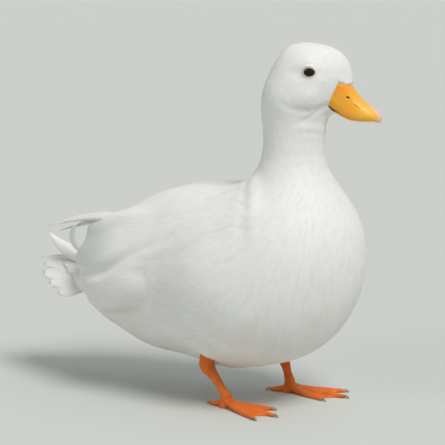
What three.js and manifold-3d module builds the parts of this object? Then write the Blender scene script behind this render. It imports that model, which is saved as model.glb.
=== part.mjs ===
// A white Call-type drake standing at rest: a life-size still model, in millimetres.
// +X is forward, +Y is the bird's left and +Z is up. The soles stand on z = 0.
//
// The plumage's outer form is one smooth surface, blended from a few egg-shaped masses. Rings of
// that surface are lofted into the trunk, neck, head and tail root, parted by thin plane cuts.
// Bill, eyes, wings, tail feathers and legs are made on their own and let into it.

import * as THREE from 'three';
import { LoftGeometry } from 'three/addons/geometries/LoftGeometry.js';
import { mergeVertices } from 'three/addons/utils/BufferGeometryUtils.js';
import Module from 'manifold-3d';

const wasm = await Module();
wasm.setup();

const { Vector3, MathUtils } = THREE;
const { lerp, smoothstep, degToRad } = MathUtils;
const vec = (x, y, z) => new Vector3(x, y, z);

// ---------- Driving sizes ----------

const GAP = 0.3; // clearance between two pieces that touch
const FINE = 0.14; // the form is kept this closely when its triangles are thinned out
const LEFT = 1; // the sign of Y on the bird's left side
const RIGHT = -1;

const NECK_X = 23; // the upright axis of the neck
const HEAD_TURN = degToRad(18); // the head looks this far to the bird's left
const TWIST_FROM_Z = 160; // the neck twists between these heights
const TWIST_TO_Z = 203;

const TAIL_ROOT_X = -128; // where the tail root is parted from the trunk
const NECK_CUT = degToRad(70); // slope of the cut at the base of the neck
const HEAD_CUT_Z = 203; // level of the cut under the head

// The masses that the plumage's outer form is blended from. pitch lifts a mass's front end.
const MASSES = {
  belly: { at: [-9, 0, 91], radii: [78, 64, 64], pitch: 0, blend: 0 },
  back: { at: [-38, 0, 118], radii: [52, 40, 34.5], pitch: -6, blend: 8 },
  rump: { at: [-72, 0, 85], radii: [69, 39, 56], pitch: -3, blend: 22 },
  breast: { at: [26, 0, 119], radii: [46, 49, 48], pitch: 0, blend: 22 },
  tailRoot: { at: [-134, 0, 82], radii: [32, 21, 15], pitch: 4, blend: 10 },
  neck: { at: [NECK_X, 0, 180], radii: [21.5, 21, 78], pitch: 0, blend: 24 },
  nape: { at: [24, 0, 216], radii: [23.5, 19, 30], pitch: 0, blend: 8 },
  skull: { at: [34.3, 0, 234.5], radii: [24.4, 22, 24.7], pitch: 0, blend: 6 },
  cheek: { at: [27, 7.5, 221], radii: [21, 15, 16], pitch: -10, blend: 7, paired: true },
  forehead: { at: [47.8, 0, 233.6], radii: [17.2, 10.5, 22.4], pitch: 0, blend: 6 },
};

// Bill, in its own frame: s runs forward along it, t is up and y is sideways.
const BILL_AT = vec(54, 0, 228);
const BILL_PITCH = degToRad(25.5);
const BILL_ROOT = -9; // s of the end let into the head
const BILL_TIP = 36.8;
const NAIL = { at: [35.2, 0, -4.3], radii: [6.4, 4.3, 6.6] };

// Eye
const EYE_RADIUS = 6;
const EYE_DEPTH = 4.4; // from the plumage down to the eyeball's centre
const EYE_X = 37;
const EYE_Z = 241;

// Wing
const WING_FRONT_X = 14;
const WING_REAR_X = -145;
const WING_BED = { at: [-40, 0, 90], radii: [115, 55, 50], pitch: 0 };
const WING_FIT = 0.9; // space between a wing and the plumage under it
const WING_THICK = 6;
const WING_EDGE = 1;

// Tail
const TAIL_FEATHERS = 9;
const TAIL_CUT_X = -146; // where the fan is parted from the tail root

// Legs. ankle is the top of the foot, hock the heel joint, knee the end inside the plumage.
const LEGS = {
  right: { ankle: [-15, -28, 8.5], hock: [-32, -27, 31], knee: [-20, -28, 52], heading: -8 },
  left: { ankle: [3, 33, 8.5], hock: [-2, 31, 30], knee: [8, 31, 52], heading: 6 },
};
const SHANK_RADIUS = 3.1;
const HOCK_RADIUS = 5.4;
const TOES = {
  inner: { turn: 24, length: 33 },
  middle: { turn: 0, length: 42 },
  outer: { turn: -23, length: 39 },
};
const HALLUX = { turn: 176, length: 14.5 };

// ---------- The plumage's outer form ----------

// Nearly the distance from a point to a mass, negative inside it.
function massDistance({ at, radii, pitch, paired }, point) {
  const y = (paired ? Math.abs(point.y) : point.y) - at[1];
  const q = vec(point.x - at[0], y, point.z - at[2]);
  q.applyAxisAngle(vec(0, 1, 0), degToRad(pitch));
  const scaled = q.clone().divide(vec(...radii));
  const steep = scaled.clone().divide(vec(...radii)).length();
  const reach = scaled.length();
  return steep > 0 ? (reach * (reach - 1)) / steep : -Math.min(...radii);
}

function blended(a, b, width) {
  const h = width > 0 ? Math.max(width - Math.abs(a - b), 0) / width : 0;
  return Math.min(a, b) - (h * h * width) / 4;
}

function bodyDistance(point) {
  return Object.values(MASSES).reduce(
    (found, mass) => blended(found, massDistance(mass, point), mass.blend),
    Infinity,
  );
}

// How far the surface, grown by `grow`, lies from a point inside it.
function reachFrom(origin, direction, grow = 0, form = bodyDistance) {
  let far = 0;
  for (let i = 0; i < 80; i += 1) {
    const step = form(origin.clone().addScaledVector(direction, far)) - grow;
    far -= step;
    if (Math.abs(step) < 0.005) break;
  }
  return far;
}

// A closed ring of the surface, in the plane through `origin` that faces up from +X by `heading`.
function bodyRing(origin, heading, sides, grow = 0) {
  const side = vec(0, 1, 0);
  const dorsal = vec(-Math.sin(heading), 0, Math.cos(heading));
  const above = reachFrom(origin, dorsal, grow);
  const below = reachFrom(origin, dorsal.clone().negate(), grow);
  const centre = origin.clone().addScaledVector(dorsal, (above - below) / 2);
  const height = (above + below) / 2;
  const width = reachFrom(centre, side, grow);
  return Array.from({ length: sides }, (_, i) => {
    const turn = (2 * Math.PI * i) / sides;
    const ray = dorsal.clone().multiplyScalar(height * Math.cos(turn));
    ray.addScaledVector(side, -width * Math.sin(turn)).normalize();
    return centre.clone().addScaledVector(ray, reachFrom(centre, ray, grow));
  });
}

// ---------- The spine that the rings stand on ----------

const along = (x, z, heading) => ({ origin: vec(x, 0, z), heading });

// Rings that fan about a pivot outside the body, as the spine bends round it.
function fanned(pivot, radii, from, to, count) {
  return Array.from({ length: count + 1 }, (_, i) => {
    const heading = lerp(from, to, i / count);
    const radius = lerp(...radii, i / count);
    const bend = to > from ? 1 : -1;
    const x = pivot.x + bend * radius * Math.sin(heading);
    return along(x, pivot.z - bend * radius * Math.cos(heading), heading);
  });
}

// A station moved along its own heading, to leave half a gap at a cut.
function shifted({ origin, heading }, by) {
  return along(origin.x + by * Math.cos(heading), origin.z + by * Math.sin(heading), heading);
}

const BACK_PIVOT = vec(-25, 0, 170); // behind the foot of the neck
const THROAT_PIVOT = vec(52, 0, HEAD_CUT_Z); // in front of the throat
const SPINE_Z = 92;
const TAIL_ROOT_Z = 90;
const UPRIGHT = Math.PI / 2;

function rowOf(count, from, to) {
  return Array.from({ length: count + 1 }, (_, i) => lerp(from, to, i / count));
}

// Stations from x to just inside the form's end that lies ahead (sign 1) or behind (sign -1), set
// closer together towards that end.
function closingRow(count, x, z, sign) {
  const end = x + sign * (reachFrom(vec(x, 0, z), vec(sign, 0, 0)) - 0.5);
  return rowOf(count, 0, UPRIGHT).map((turn) => along(lerp(x, end, Math.sin(turn)), z, 0));
}

const spine = {
  tailCore: closingRow(5, TAIL_CUT_X - GAP / 2, TAIL_ROOT_Z, -1),
  tailRoot: rowOf(4, TAIL_CUT_X, TAIL_ROOT_X).map((x) => along(x, TAIL_ROOT_Z, 0)),
  trunk: [
    ...rowOf(10, TAIL_ROOT_X, BACK_PIVOT.x - 8).map((x) => along(x, SPINE_Z, 0)),
    ...fanned(BACK_PIVOT, [78, 58], 0, NECK_CUT, 12),
  ],
  neck: [
    ...fanned(BACK_PIVOT, [58, NECK_X - BACK_PIVOT.x], NECK_CUT, UPRIGHT, 3),
    ...rowOf(5, BACK_PIVOT.z, HEAD_CUT_Z).slice(1).map((z) => along(NECK_X, z, UPRIGHT)),
  ],
  head: [
    ...fanned(THROAT_PIVOT, [THROAT_PIVOT.x - NECK_X, 28], UPRIGHT, 0, 17),
    ...closingRow(5, THROAT_PIVOT.x, HEAD_CUT_Z + 28, 1).slice(1),
  ],
};

// The head's turn, which the neck takes up as a twist about its upright axis.
function twisted(point) {
  const turn = HEAD_TURN * smoothstep(point.z, TWIST_FROM_Z, TWIST_TO_Z);
  const axis = vec(NECK_X, 0, 0);
  return point.clone().sub(axis).applyAxisAngle(vec(0, 0, 1), turn).add(axis);
}

// ---------- Solids ----------

function solidOf(geometry) {
  const bare = geometry.index ? geometry.toNonIndexed() : geometry.clone();
  bare.deleteAttribute('normal');
  bare.deleteAttribute('uv');
  const { index, attributes } = mergeVertices(bare, 1e-4);
  const vertProperties = attributes.position.array;
  const triVerts = new Uint32Array(index.array);
  return new wasm.Manifold(new wasm.Mesh({ numProp: 3, vertProperties, triVerts }));
}

// The middle of a closed section, and the direction it faces, as long as its area.
function facing(section) {
  const middle = section.reduce((sum, p) => sum.add(p), vec(0, 0, 0)).divideScalar(section.length);
  const area = vec(0, 0, 0);
  section.forEach((p, i) => {
    const next = section[(i + 1) % section.length];
    area.add(p.clone().sub(middle).cross(next.clone().sub(middle)));
  });
  return { middle, area };
}

// A closed solid through a row of closed sections, all wound the same way.
function lofted(sections) {
  const half = Math.floor(sections.length / 2);
  const { middle, area } = facing(sections[half]);
  const ahead = facing(sections[half + 1]).middle.sub(middle);
  const wound = area.dot(ahead) > 0 ? sections : sections.map((s) => s.slice().reverse());
  return solidOf(new LoftGeometry(wound, { capStart: true, capEnd: true }));
}

function geometryOf(solid) {
  const { vertProperties, triVerts, numProp } = solid.getMesh();
  const geometry = new THREE.BufferGeometry();
  geometry.setAttribute('position', new THREE.BufferAttribute(vertProperties, numProp));
  geometry.setIndex(new THREE.BufferAttribute(triVerts, 1));
  return geometry.toNonIndexed();
}

// The main body of a cut solid, without any crumbs the cut left.
function largest(solid) {
  return solid.decompose().reduce((a, b) => (a.volume() > b.volume() ? a : b));
}

// A round-sectioned limb. at(t) is its centre line from t = 0 to 1, and radii(t) gives its
// half-width along `side` and its half-depth across it.
function limb(at, radii, { steps, sides, side = vec(0, 1, 0), from = 0, to = 1 }) {
  const sections = rowOf(steps, from, to).map((t) => {
    const ahead = at(t + 1e-3).sub(at(t - 1e-3)).normalize();
    const across = side.clone().addScaledVector(ahead, -side.dot(ahead)).normalize();
    const out = ahead.clone().cross(across);
    const [wide, deep] = radii(t);
    return rowOf(sides, 0, 2 * Math.PI).slice(0, sides).map((turn) =>
      at(t).addScaledVector(across, wide * Math.cos(turn)).addScaledVector(out, deep * Math.sin(turn)),
    );
  });
  return lofted(sections);
}

// ---------- Materials ----------

const finish = (color, roughness) =>
  new THREE.MeshStandardMaterial({ color, roughness, metalness: 0 });

const PLUMAGE = finish('#f1f1ec', 0.8);
const FLIGHT_FEATHER = finish('#f4f4f1', 0.6);
const BILL_ORANGE = finish('#f5a321', 0.45);
const NAIL_CREAM = finish('#f3cfa6', 0.4);
const LEG_ORANGE = finish('#e2571b', 0.5);
const CLAW_HORN = finish('#c9a37a', 0.4);
const EYE_DARK = finish('#17100c', 0.05);

// A named node. Triangles that add less than FINE to its form are left out.
function piece(name, solid, material) {
  const mesh = new THREE.Mesh(geometryOf(solid.simplify(FINE)), material.clone());
  mesh.name = name;
  return mesh;
}

// ---------- Trunk, neck, head and tail root ----------

const RING_SIDES = { tailRoot: 18, trunk: 28, neck: 24, head: 24 };

// One stretch of the body, parted from its neighbours by half a gap at each open end.
function bodyStretch(name, { openStart, openEnd, grow = 0, twist = true }) {
  const stations = spine[name].slice();
  const last = stations.length - 1;
  if (openStart) stations[0] = shifted(stations[0], GAP / 2);
  if (openEnd) stations[last] = shifted(stations[last], -GAP / 2);
  const rings = stations.map(({ origin, heading }) =>
    bodyRing(origin, heading, RING_SIDES[name], grow),
  );
  return lofted(twist ? rings.map((ring) => ring.map(twisted)) : rings);
}

const trunk = bodyStretch('trunk', { openStart: true, openEnd: true });
const neck = bodyStretch('neck', { openStart: true, openEnd: true });
const head = bodyStretch('head', { openStart: true, twist: false });
const tailRoot = bodyStretch('tailRoot', { openStart: true, openEnd: true });

// ---------- Small tools for the other pieces ----------

// A smooth value through a few knots [t, value].
function profile(knots) {
  return (t) => {
    const last = knots.length - 1;
    let i = knots.findIndex(([at]) => at >= t);
    i = i === -1 ? last : Math.max(i, 1);
    const slope = (k) => {
      const a = knots[Math.max(k - 1, 0)];
      const b = knots[Math.min(k + 1, last)];
      return (b[1] - a[1]) / (b[0] - a[0]);
    };
    const [t0, v0] = knots[i - 1];
    const [t1, v1] = knots[i];
    const span = t1 - t0;
    const u = MathUtils.clamp((t - t0) / span, 0, 1);
    const ease = u * u * (3 - 2 * u);
    return lerp(v0 + slope(i - 1) * span * u, v1 - slope(i) * span * (1 - u), ease);
  };
}

// A curve through a few points, as a function of t from 0 to 1, run straight on past its ends.
function curveThrough(points) {
  const curve = new THREE.CatmullRomCurve3(points.map((p) => vec(...p)), false, 'centripetal');
  return (t) => {
    const inside = MathUtils.clamp(t, 0, 1);
    const on = curve.getPoint(inside);
    return on.addScaledVector(curve.getTangent(inside), (t - inside) * curve.getLength());
  };
}

function ellipsoid({ at, radii }, grow = 0) {
  const geometry = new THREE.SphereGeometry(1, 12, 9);
  geometry.scale(...radii.map((r) => r + grow));
  geometry.translate(...at);
  return solidOf(geometry);
}

// ---------- Bill ----------

const billTop = profile([[-9, 13], [0, 9.6], [9, 5.4], [18, 0.9], [27, -1], [33, -2.2], [36.8, -4.8]]);
const billEdge = profile([[-9, -11], [-1, -13.2], [10, -15.6], [20, -14.8], [30, -10.6], [36.8, -8.8]]);
const billHalfWidth = profile([
  [-9, 10], [0, 11.8], [8, 10], [16, 9.5], [25, 9.9], [31, 8.3], [35, 5], [36.8, 1.6],
]);
const billSquareness = profile([[-9, 3.2], [6, 2.9], [18, 2.4], [36.8, 2.2]]);

const BILL_SIDES = 18;

// One cross-section of the bill between two heights.
function billRing(s, top, bottom, halfWidth, squareness) {
  const middle = lerp(bottom, top, 0.38);
  return rowOf(BILL_SIDES, 0, 2 * Math.PI).slice(0, BILL_SIDES).map((turn) => {
    const y = Math.sign(Math.sin(turn)) * Math.abs(Math.sin(turn)) ** (2 / squareness);
    const up = Math.sign(Math.cos(turn)) * Math.abs(Math.cos(turn)) ** (2 / squareness);
    return vec(s, halfWidth * y, middle + up * (up > 0 ? top - middle : middle - bottom));
  });
}

function billUpper(grow = 0) {
  return lofted(
    rowOf(11, 0, 1).map((u) => {
      const s = lerp(BILL_ROOT, BILL_TIP, 1 - (1 - u) ** 1.5);
      const width = billHalfWidth(s) + grow;
      return billRing(s, billTop(s) + grow, billEdge(s) - grow, width, billSquareness(s));
    }),
  );
}

// The lower bill, sunk into the underside of the upper one, with only its rim below it.
function billLower(grow = 0) {
  const LOWER_TIP = 31;
  const SUNK = 2;
  return lofted(
    rowOf(6, 0, 1).map((u) => {
      const s = lerp(BILL_ROOT - 1, LOWER_TIP, u);
      const edge = billEdge(s);
      const rim = lerp(1.5, 0.7, u) + grow;
      return billRing(s, edge + SUNK + grow, edge - rim, 0.78 * billHalfWidth(s) + grow, 2.4);
    }),
  );
}

const billFrame = new THREE.Matrix4().makeRotationY(BILL_PITCH).setPosition(BILL_AT);
const upper = billUpper();
const bill = {
  upper: upper.subtract(ellipsoid(NAIL, GAP)).subtract(billLower(GAP)),
  nail: upper.intersect(ellipsoid(NAIL)),
  lower: billLower().subtract(ellipsoid(NAIL, GAP)),
};
const billSocket = billUpper(GAP).add(billLower(GAP)).transform(billFrame.elements);

// ---------- Eyes ----------

function eyeCentre(side) {
  const from = vec(EYE_X, 0, EYE_Z);
  return vec(EYE_X, side * (reachFrom(from, vec(0, side, 0)) - EYE_DEPTH), EYE_Z);
}

function eyeball(side, grow = 0) {
  const radii = Array(3).fill(EYE_RADIUS);
  return ellipsoid({ at: eyeCentre(side).toArray(), radii }, grow);
}

// ---------- Wings ----------

const wingTopTurn = profile([[0, 30], [0.12, 12], [0.5, 8], [0.75, 24], [0.9, 44], [1, 70]]);
const wingLowTurn = profile([[0, 42], [0.2, 56], [0.47, 71], [0.8, 92], [0.94, 110], [1, 92]]);
const wingLift = profile([[0, 1.2], [0.15, 3], [0.35, 4.4], [0.6, 3], [0.85, 2.6], [1, 1.8]]);

function wingBed(point) {
  return blended(bodyDistance(point), massDistance(WING_BED, point), 10);
}

// One crosswise section of a folded wing: out over its back and in again along the plumage.
function wingSection(t, side, grow) {
  const ACROSS = 7;
  const origin = vec(lerp(WING_FRONT_X, WING_REAR_X, t), 0, SPINE_Z);
  const rays = rowOf(ACROSS, 0, 1).map((v) => {
    const turn = degToRad(lerp(wingTopTurn(t), wingLowTurn(t), v));
    const ray = vec(0, side * Math.sin(turn), Math.cos(turn));
    const full = Math.sin(Math.PI * v) ** 0.6;
    const lift = lerp(WING_EDGE + WING_FIT, wingLift(t) * (1 - 0.55 * v), full);
    const outer = reachFrom(origin, ray, 0, wingBed) + Math.max(lift, WING_EDGE + WING_FIT);
    const thick = lerp(WING_EDGE, WING_THICK * Math.min(1, 0.3 + 6 * (1 - t)), full);
    const inner = Math.max(outer - thick, reachFrom(origin, ray) + WING_FIT);
    return { ray, outer: outer + grow, inner: Math.min(inner, outer - WING_EDGE * 0.8) - grow };
  });
  const over = rays.map(({ ray, outer }) => origin.clone().addScaledVector(ray, outer));
  const under = rays.map(({ ray, inner }) => origin.clone().addScaledVector(ray, inner));
  return [...over, ...under.reverse()];
}

function wing(side, grow = 0) {
  const STATIONS = 17;
  const eased = (u) => lerp(u, (1 - Math.cos(Math.PI * u)) / 2, 0.6);
  return lofted(rowOf(STATIONS, 0, 1).map((u) => wingSection(eased(u), side, grow)));
}

// The long flight feathers, shut together into one blade that reaches back over the rump.
function primaries(side) {
  const drop = side === LEFT ? 3 : 0;
  const at = curveThrough([
    [-92, 31 * side, 128 - drop],
    [-118, 27 * side, 125.5 - drop],
    [-148, 18 * side, 119.5 - drop],
    [-178, 7 * side, 111.5 - drop],
  ]);
  const width = profile([[0, 7], [0.3, 8.5], [0.65, 6.2], [0.9, 2.8], [1, 0.7]]);
  const radii = (t) => [width(t), lerp(1.7, 0.5, t)];
  const whole = limb(at, radii, { steps: 9, sides: 6, side: vec(0.25, side, -0.45) });
  return largest(whole.subtract(wing(side, GAP)).subtract(bodyStretch('trunk', { grow: GAP + 0.1 })));
}

// ---------- Tail ----------

// A feather blade: flat across `side`, widest along its middle and pointed at its tip.
function blade(points, halfWidth, halfThick, side, steps = 6) {
  const width = profile([[0, 0.6], [0.4, 1], [0.78, 0.95], [0.93, 0.6], [1, 0.08]]);
  const radii = (t) => [halfWidth * width(t), lerp(halfThick, 0.35, t * t)];
  return limb(curveThrough(points), radii, { steps, sides: 6, side });
}

// The fan's midline from root to tip, at `turn` from -1 (right edge) to 1 (left edge).
function fanLine(turn) {
  const out = Math.abs(turn);
  const root = vec(TAIL_CUT_X + 2, 14 * turn, 86 - 9 * out ** 2);
  const tip = vec(-189 + 34 * out ** 2, 26 * turn, 86 - 22 * out ** 1.6);
  return (far) => root.clone().lerp(tip, far).add(vec(0, 0, 6 * far * (1 - far)));
}

// All the tail feathers as one sheet, notched between their tips.
function tailFan() {
  const BEAT = [0.8, 0.94, 1, 0.94]; // how far out the edge lies at a notch, a side, a tip, a side
  const beats = BEAT.length * TAIL_FEATHERS;
  const sheet = rowOf(beats, -1, 1).map((turn, i) => {
    const line = fanLine(turn);
    const uneven = 1 + 0.04 * Math.cos(2.6 * Math.round(i / BEAT.length));
    const end = BEAT[i % BEAT.length] * uneven;
    const ridge = i % BEAT.length === 0 ? 0 : 0.5;
    const over = [[0, 2], [0.5, 1.3], [0.94, 0.6]].map(([far, half]) => [far * end, half]);
    const top = over.map(([far, half]) => line(far).add(vec(0, 0, half + ridge)));
    const bottom = over.map(([far, half]) => line(far).add(vec(0, 0, -half)));
    return [...top, line(end), ...bottom.reverse()];
  });
  const core = spine.tailCore.map(({ origin, heading }, i, all) => {
    const thin = lerp(1, 0.25, (i / (all.length - 1)) ** 1.1);
    const level = lerp(origin.z, 84, i / (all.length - 1));
    const ring = bodyRing(origin, heading, RING_SIDES.tailRoot);
    return ring.map((p) => vec(p.x, p.y, level + (p.z - origin.z) * thin));
  });
  return lofted(sheet).add(lofted(core));
}

const tailRootGrown = bodyStretch('tailRoot', { grow: GAP });
const clearOfTail = (curl) => largest(curl.subtract(tailRootGrown));

const curlBroadLine = [[-141, -4, 101], [-157, -4, 97], [-170, -3, 99.5], [-182, -1, 106]];
const curlThinLine = [
  [-141, -9, 101], [-153, -10, 99], [-158.5, -10, 106], [-156, -10, 113], [-151, -9, 116],
];

const tail = {
  fan: tailFan().trimByPlane([-1, 0, 0], GAP / 2 - TAIL_CUT_X),
  curlBroad: clearOfTail(blade(curlBroadLine, 4.6, 0.9, vec(0, 1, 0.8), 8)),
  curlThin: clearOfTail(blade(curlThinLine, 1.8, 0.9, vec(0, 1, 0), 10)),
};

// ---------- Legs and feet ----------

function leg({ ankle, hock, knee }, grow = 0) {
  const middle = ankle.map((value, i) => lerp(value, hock[i], 0.5));
  const at = curveThrough([ankle, middle, hock, knee]);
  const radius = profile([
    [0, 3.9],
    [0.12, SHANK_RADIUS],
    [0.3, SHANK_RADIUS],
    [0.5, 4.4],
    [0.58, HOCK_RADIUS],
    [0.75, 5],
    [1, 6.5],
  ]);
  const radii = (t) => [radius(t) + grow, radius(t) * 1.08 + grow];
  const whole = limb(at, radii, { steps: 12, sides: 10, from: -0.07 });
  return whole.trimByPlane([0, 0, 1], ankle[2] - grow);
}

// A point on the ground plan of a foot, `far` from its ankle towards `turn` degrees from its heading.
function fromAnkle({ ankle, heading }, side, turn, far, z) {
  const angle = degToRad(heading + turn * -side);
  return [ankle[0] + far * Math.cos(angle), ankle[1] + far * Math.sin(angle), z];
}

function toe(foot, side, { turn, length }) {
  const out = (far, z) => fromAnkle(foot, side, turn, far, z);
  const at = curveThrough([out(0, 6), out(length * 0.14, 4), out(length * 0.45, 2.2), out(length, 1.3)]);
  const radius = profile([[0, 3.6], [0.2, 2.9], [0.6, 2.5], [0.9, 2.1], [1, 1.6]]);
  const radii = (t) => [radius(t), radius(t)];
  const ahead = vec(...out(1, 0)).sub(vec(...out(0, 0)));
  return limb(at, radii, { steps: 5, sides: 6, side: ahead.cross(vec(0, 0, 1)) });
}

// The skin between two toes, a thin sheet with a hollowed front edge.
function web(foot, side, from, to) {
  const sections = rowOf(4, 0, 1).map((u) => {
    const turn = lerp(from.turn, to.turn, u);
    const far = lerp(from.length, to.length, u) * 0.93 - 6 * Math.sin(Math.PI * u);
    const out = (d, z) => vec(...fromAnkle(foot, side, turn, d, z));
    return [out(2, -0.5), out(far, -0.5), out(far, 0.9), out(far * 0.45, 1.6), out(2, 4)];
  });
  return lofted(sections);
}

// Set GAP clear of the toe's blunt end, with its tip resting on the ground.
function claw(foot, side, { turn, length }) {
  const out = (far, z) => fromAnkle(foot, side, turn, far, z);
  const at = curveThrough([out(length + GAP, 1.6), out(length + 2.2, 1.6), out(length + 4, 0.3)]);
  const radii = (t) => [lerp(1.2, 0.4, t), lerp(1.3, 0.4, t)];
  return limb(at, radii, { steps: 3, sides: 6 }).trimByPlane([0, 0, 1], 0);
}

function heelBlock(foot) {
  const [x, y, z] = foot.ankle;
  const at = curveThrough([[x - 1.5, y, -0.5], [x - 0.5, y, 4], [x, y, z + 1]]);
  return limb(at, () => [3.9, 4.2], { steps: 2, sides: 8, side: vec(0, 1, 0) });
}

function footOf(foot, side) {
  const { inner, middle, outer } = TOES;
  const digits = [inner, middle, outer, HALLUX];
  const claws = digits.map((digit) => claw(foot, side, digit));
  let whole = heelBlock(foot);
  digits.forEach((digit) => { whole = whole.add(toe(foot, side, digit)); });
  whole = whole.add(web(foot, side, inner, middle)).add(web(foot, side, middle, outer));
  whole = largest(whole.trimByPlane([0, 0, 1], 0).trimByPlane([0, 0, -1], GAP - foot.ankle[2]));
  return { whole, claws };
}

// ---------- Fitting the pieces together ----------

const legs = { left: leg(LEGS.left), right: leg(LEGS.right) };
const trunkFitted = trunk.subtract(leg(LEGS.left, GAP)).subtract(leg(LEGS.right, GAP));
const headFitted = head.subtract(billSocket).subtract(eyeball(LEFT, GAP)).subtract(eyeball(RIGHT, GAP));

// ---------- Assembly ----------

const duck = new THREE.Group();
const headGroup = new THREE.Group();
headGroup.position.x = NECK_X;
headGroup.rotation.z = HEAD_TURN;
const headPieces = new THREE.Group();
headPieces.position.x = -NECK_X;
headGroup.add(headPieces);
const billGroup = new THREE.Group();
billGroup.position.copy(BILL_AT);
billGroup.rotation.y = BILL_PITCH;
headPieces.add(billGroup);

duck.add(
  headGroup,
  piece('trunk', trunkFitted, PLUMAGE),
  piece('neck', neck, PLUMAGE),
  piece('tail_root', tailRoot, PLUMAGE),
  piece('tail_fan', tail.fan, FLIGHT_FEATHER),
  piece('tail_curl_broad', tail.curlBroad, FLIGHT_FEATHER),
  piece('tail_curl_thin', tail.curlThin, FLIGHT_FEATHER),
);
headPieces.add(
  piece('head', headFitted, PLUMAGE),
  piece('eye_left', eyeball(LEFT), EYE_DARK),
  piece('eye_right', eyeball(RIGHT), EYE_DARK),
);
billGroup.add(
  piece('bill_upper', bill.upper, BILL_ORANGE),
  piece('bill_nail', bill.nail, NAIL_CREAM),
  piece('bill_lower', bill.lower, BILL_ORANGE),
);

for (const [name, side] of [['left', LEFT], ['right', RIGHT]]) {
  const { whole, claws } = footOf(LEGS[name], side);
  duck.add(
    piece(`wing_${name}`, wing(side), PLUMAGE),
    piece(`primaries_${name}`, primaries(side), FLIGHT_FEATHER),
    piece(`leg_${name}`, legs[name], LEG_ORANGE),
    piece(`foot_${name}`, whole, LEG_ORANGE),
  );
  ['inner', 'middle', 'outer', 'hind'].forEach((digit, i) => {
    duck.add(piece(`claw_${name}_${digit}`, claws[i], CLAW_HORN));
  });
}

// The part's origin is the middle of its bounding box, on the floor.
const bounds = new THREE.Box3().setFromObject(duck, true);
const middle = bounds.getCenter(vec(0, 0, 0));
duck.position.set(-middle.x, -middle.y, -bounds.min.z);

const part = new THREE.Group();
part.add(duck);

export default part;
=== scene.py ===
"""The looks of a standing white Call drake: skin, plumage, bill, eyes and legs.

Lengths are in metres, and MM makes them from millimetres. +X is forward, +Y the bird's left
and +Z up. The pieces are made round the frame's nodes, and all ride on one body.
"""

from math import cos, pi, radians, sin

import bmesh
import bpy
import numpy as np
from mathutils import Matrix, Vector
from mathutils.bvhtree import BVHTree


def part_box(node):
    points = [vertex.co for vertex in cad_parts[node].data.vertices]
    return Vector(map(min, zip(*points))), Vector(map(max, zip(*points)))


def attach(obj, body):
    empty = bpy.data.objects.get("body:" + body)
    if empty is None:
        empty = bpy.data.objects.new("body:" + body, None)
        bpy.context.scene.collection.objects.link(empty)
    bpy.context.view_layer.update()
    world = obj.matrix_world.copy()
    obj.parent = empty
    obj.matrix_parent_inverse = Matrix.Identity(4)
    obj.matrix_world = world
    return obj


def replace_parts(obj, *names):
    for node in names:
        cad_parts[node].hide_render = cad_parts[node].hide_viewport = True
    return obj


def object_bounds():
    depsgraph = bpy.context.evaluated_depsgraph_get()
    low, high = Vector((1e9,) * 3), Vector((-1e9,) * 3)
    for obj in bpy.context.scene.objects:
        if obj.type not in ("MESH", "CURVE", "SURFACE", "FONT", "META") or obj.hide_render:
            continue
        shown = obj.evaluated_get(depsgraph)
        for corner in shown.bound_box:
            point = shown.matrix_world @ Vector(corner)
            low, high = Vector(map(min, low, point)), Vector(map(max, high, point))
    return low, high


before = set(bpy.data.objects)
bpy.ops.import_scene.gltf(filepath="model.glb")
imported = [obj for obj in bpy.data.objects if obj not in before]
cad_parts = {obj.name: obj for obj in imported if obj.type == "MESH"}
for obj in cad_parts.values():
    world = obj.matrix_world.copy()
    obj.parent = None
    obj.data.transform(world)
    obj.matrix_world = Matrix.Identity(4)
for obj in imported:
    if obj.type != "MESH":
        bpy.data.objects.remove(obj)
CAD_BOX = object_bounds()

MM = 0.001
UP = np.array([0.0, 0.0, 1.0])
BODY = "root"
SIDES = {"left": 1, "right": -1}

BILL = ("bill_upper", "bill_nail", "bill_lower")
FLESH = ("trunk", "neck", "head", "tail_root", "wing_left", "wing_right")


# ---------- Places worked out from the frame ----------

def middle(node):
    low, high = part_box(node)
    return np.array((low + high) / 2)


EYE = {name: middle(f"eye_{name}") for name in SIDES}
EYE_RADIUS = (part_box("eye_left")[1].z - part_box("eye_left")[0].z) / 2
HEAD_AT = (EYE["left"] + EYE["right"]) / 2
HEAD_LEFT = (EYE["left"] - EYE["right"]) / np.linalg.norm(EYE["left"] - EYE["right"])
HEAD_AHEAD = np.cross(HEAD_LEFT, UP)
HEAD_WAYS = np.stack([HEAD_AHEAD, HEAD_LEFT, UP])
EYE_OUT = np.linalg.norm(EYE["left"] - HEAD_AT)
NECK_AXIS = middle("neck")[:2]
BILL_AT = np.array([17.0, 0.0, -13.0]) * MM  # the middle of the bill's root, in the head
BILL_PITCH = radians(25.5)
SPINE_Z = 92 * MM  # level of the trunk's middle line
WING_FRONT_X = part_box("wing_left")[1].x
WING_REAR_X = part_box("wing_left")[0].x
TAIL_ROOT_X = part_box("tail_root")[0].x
THROAT_LEVEL = 190 * MM  # everything in front above this belongs to the face
HEAD_LEVEL = 196 * MM
WING_LEVEL = 150 * MM  # the folded wings and the flanks lie below this


def in_head(points):
    """Points as (ahead, left, up) of the middle between the eyes."""
    away = np.asarray(points) - HEAD_AT
    return np.stack([away @ way for way in HEAD_WAYS], axis=-1)


def from_head(points):
    return HEAD_AT + np.atleast_2d(points) @ HEAD_WAYS


def in_bill(points):
    """Points as (along the bill, left, up from its root)."""
    away = in_head(points) - BILL_AT
    ahead, left, up = away[..., 0], away[..., 1], away[..., 2]
    c, s = cos(BILL_PITCH), sin(BILL_PITCH)
    return np.stack([ahead * c - up * s, left, ahead * s + up * c], axis=-1)


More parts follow.
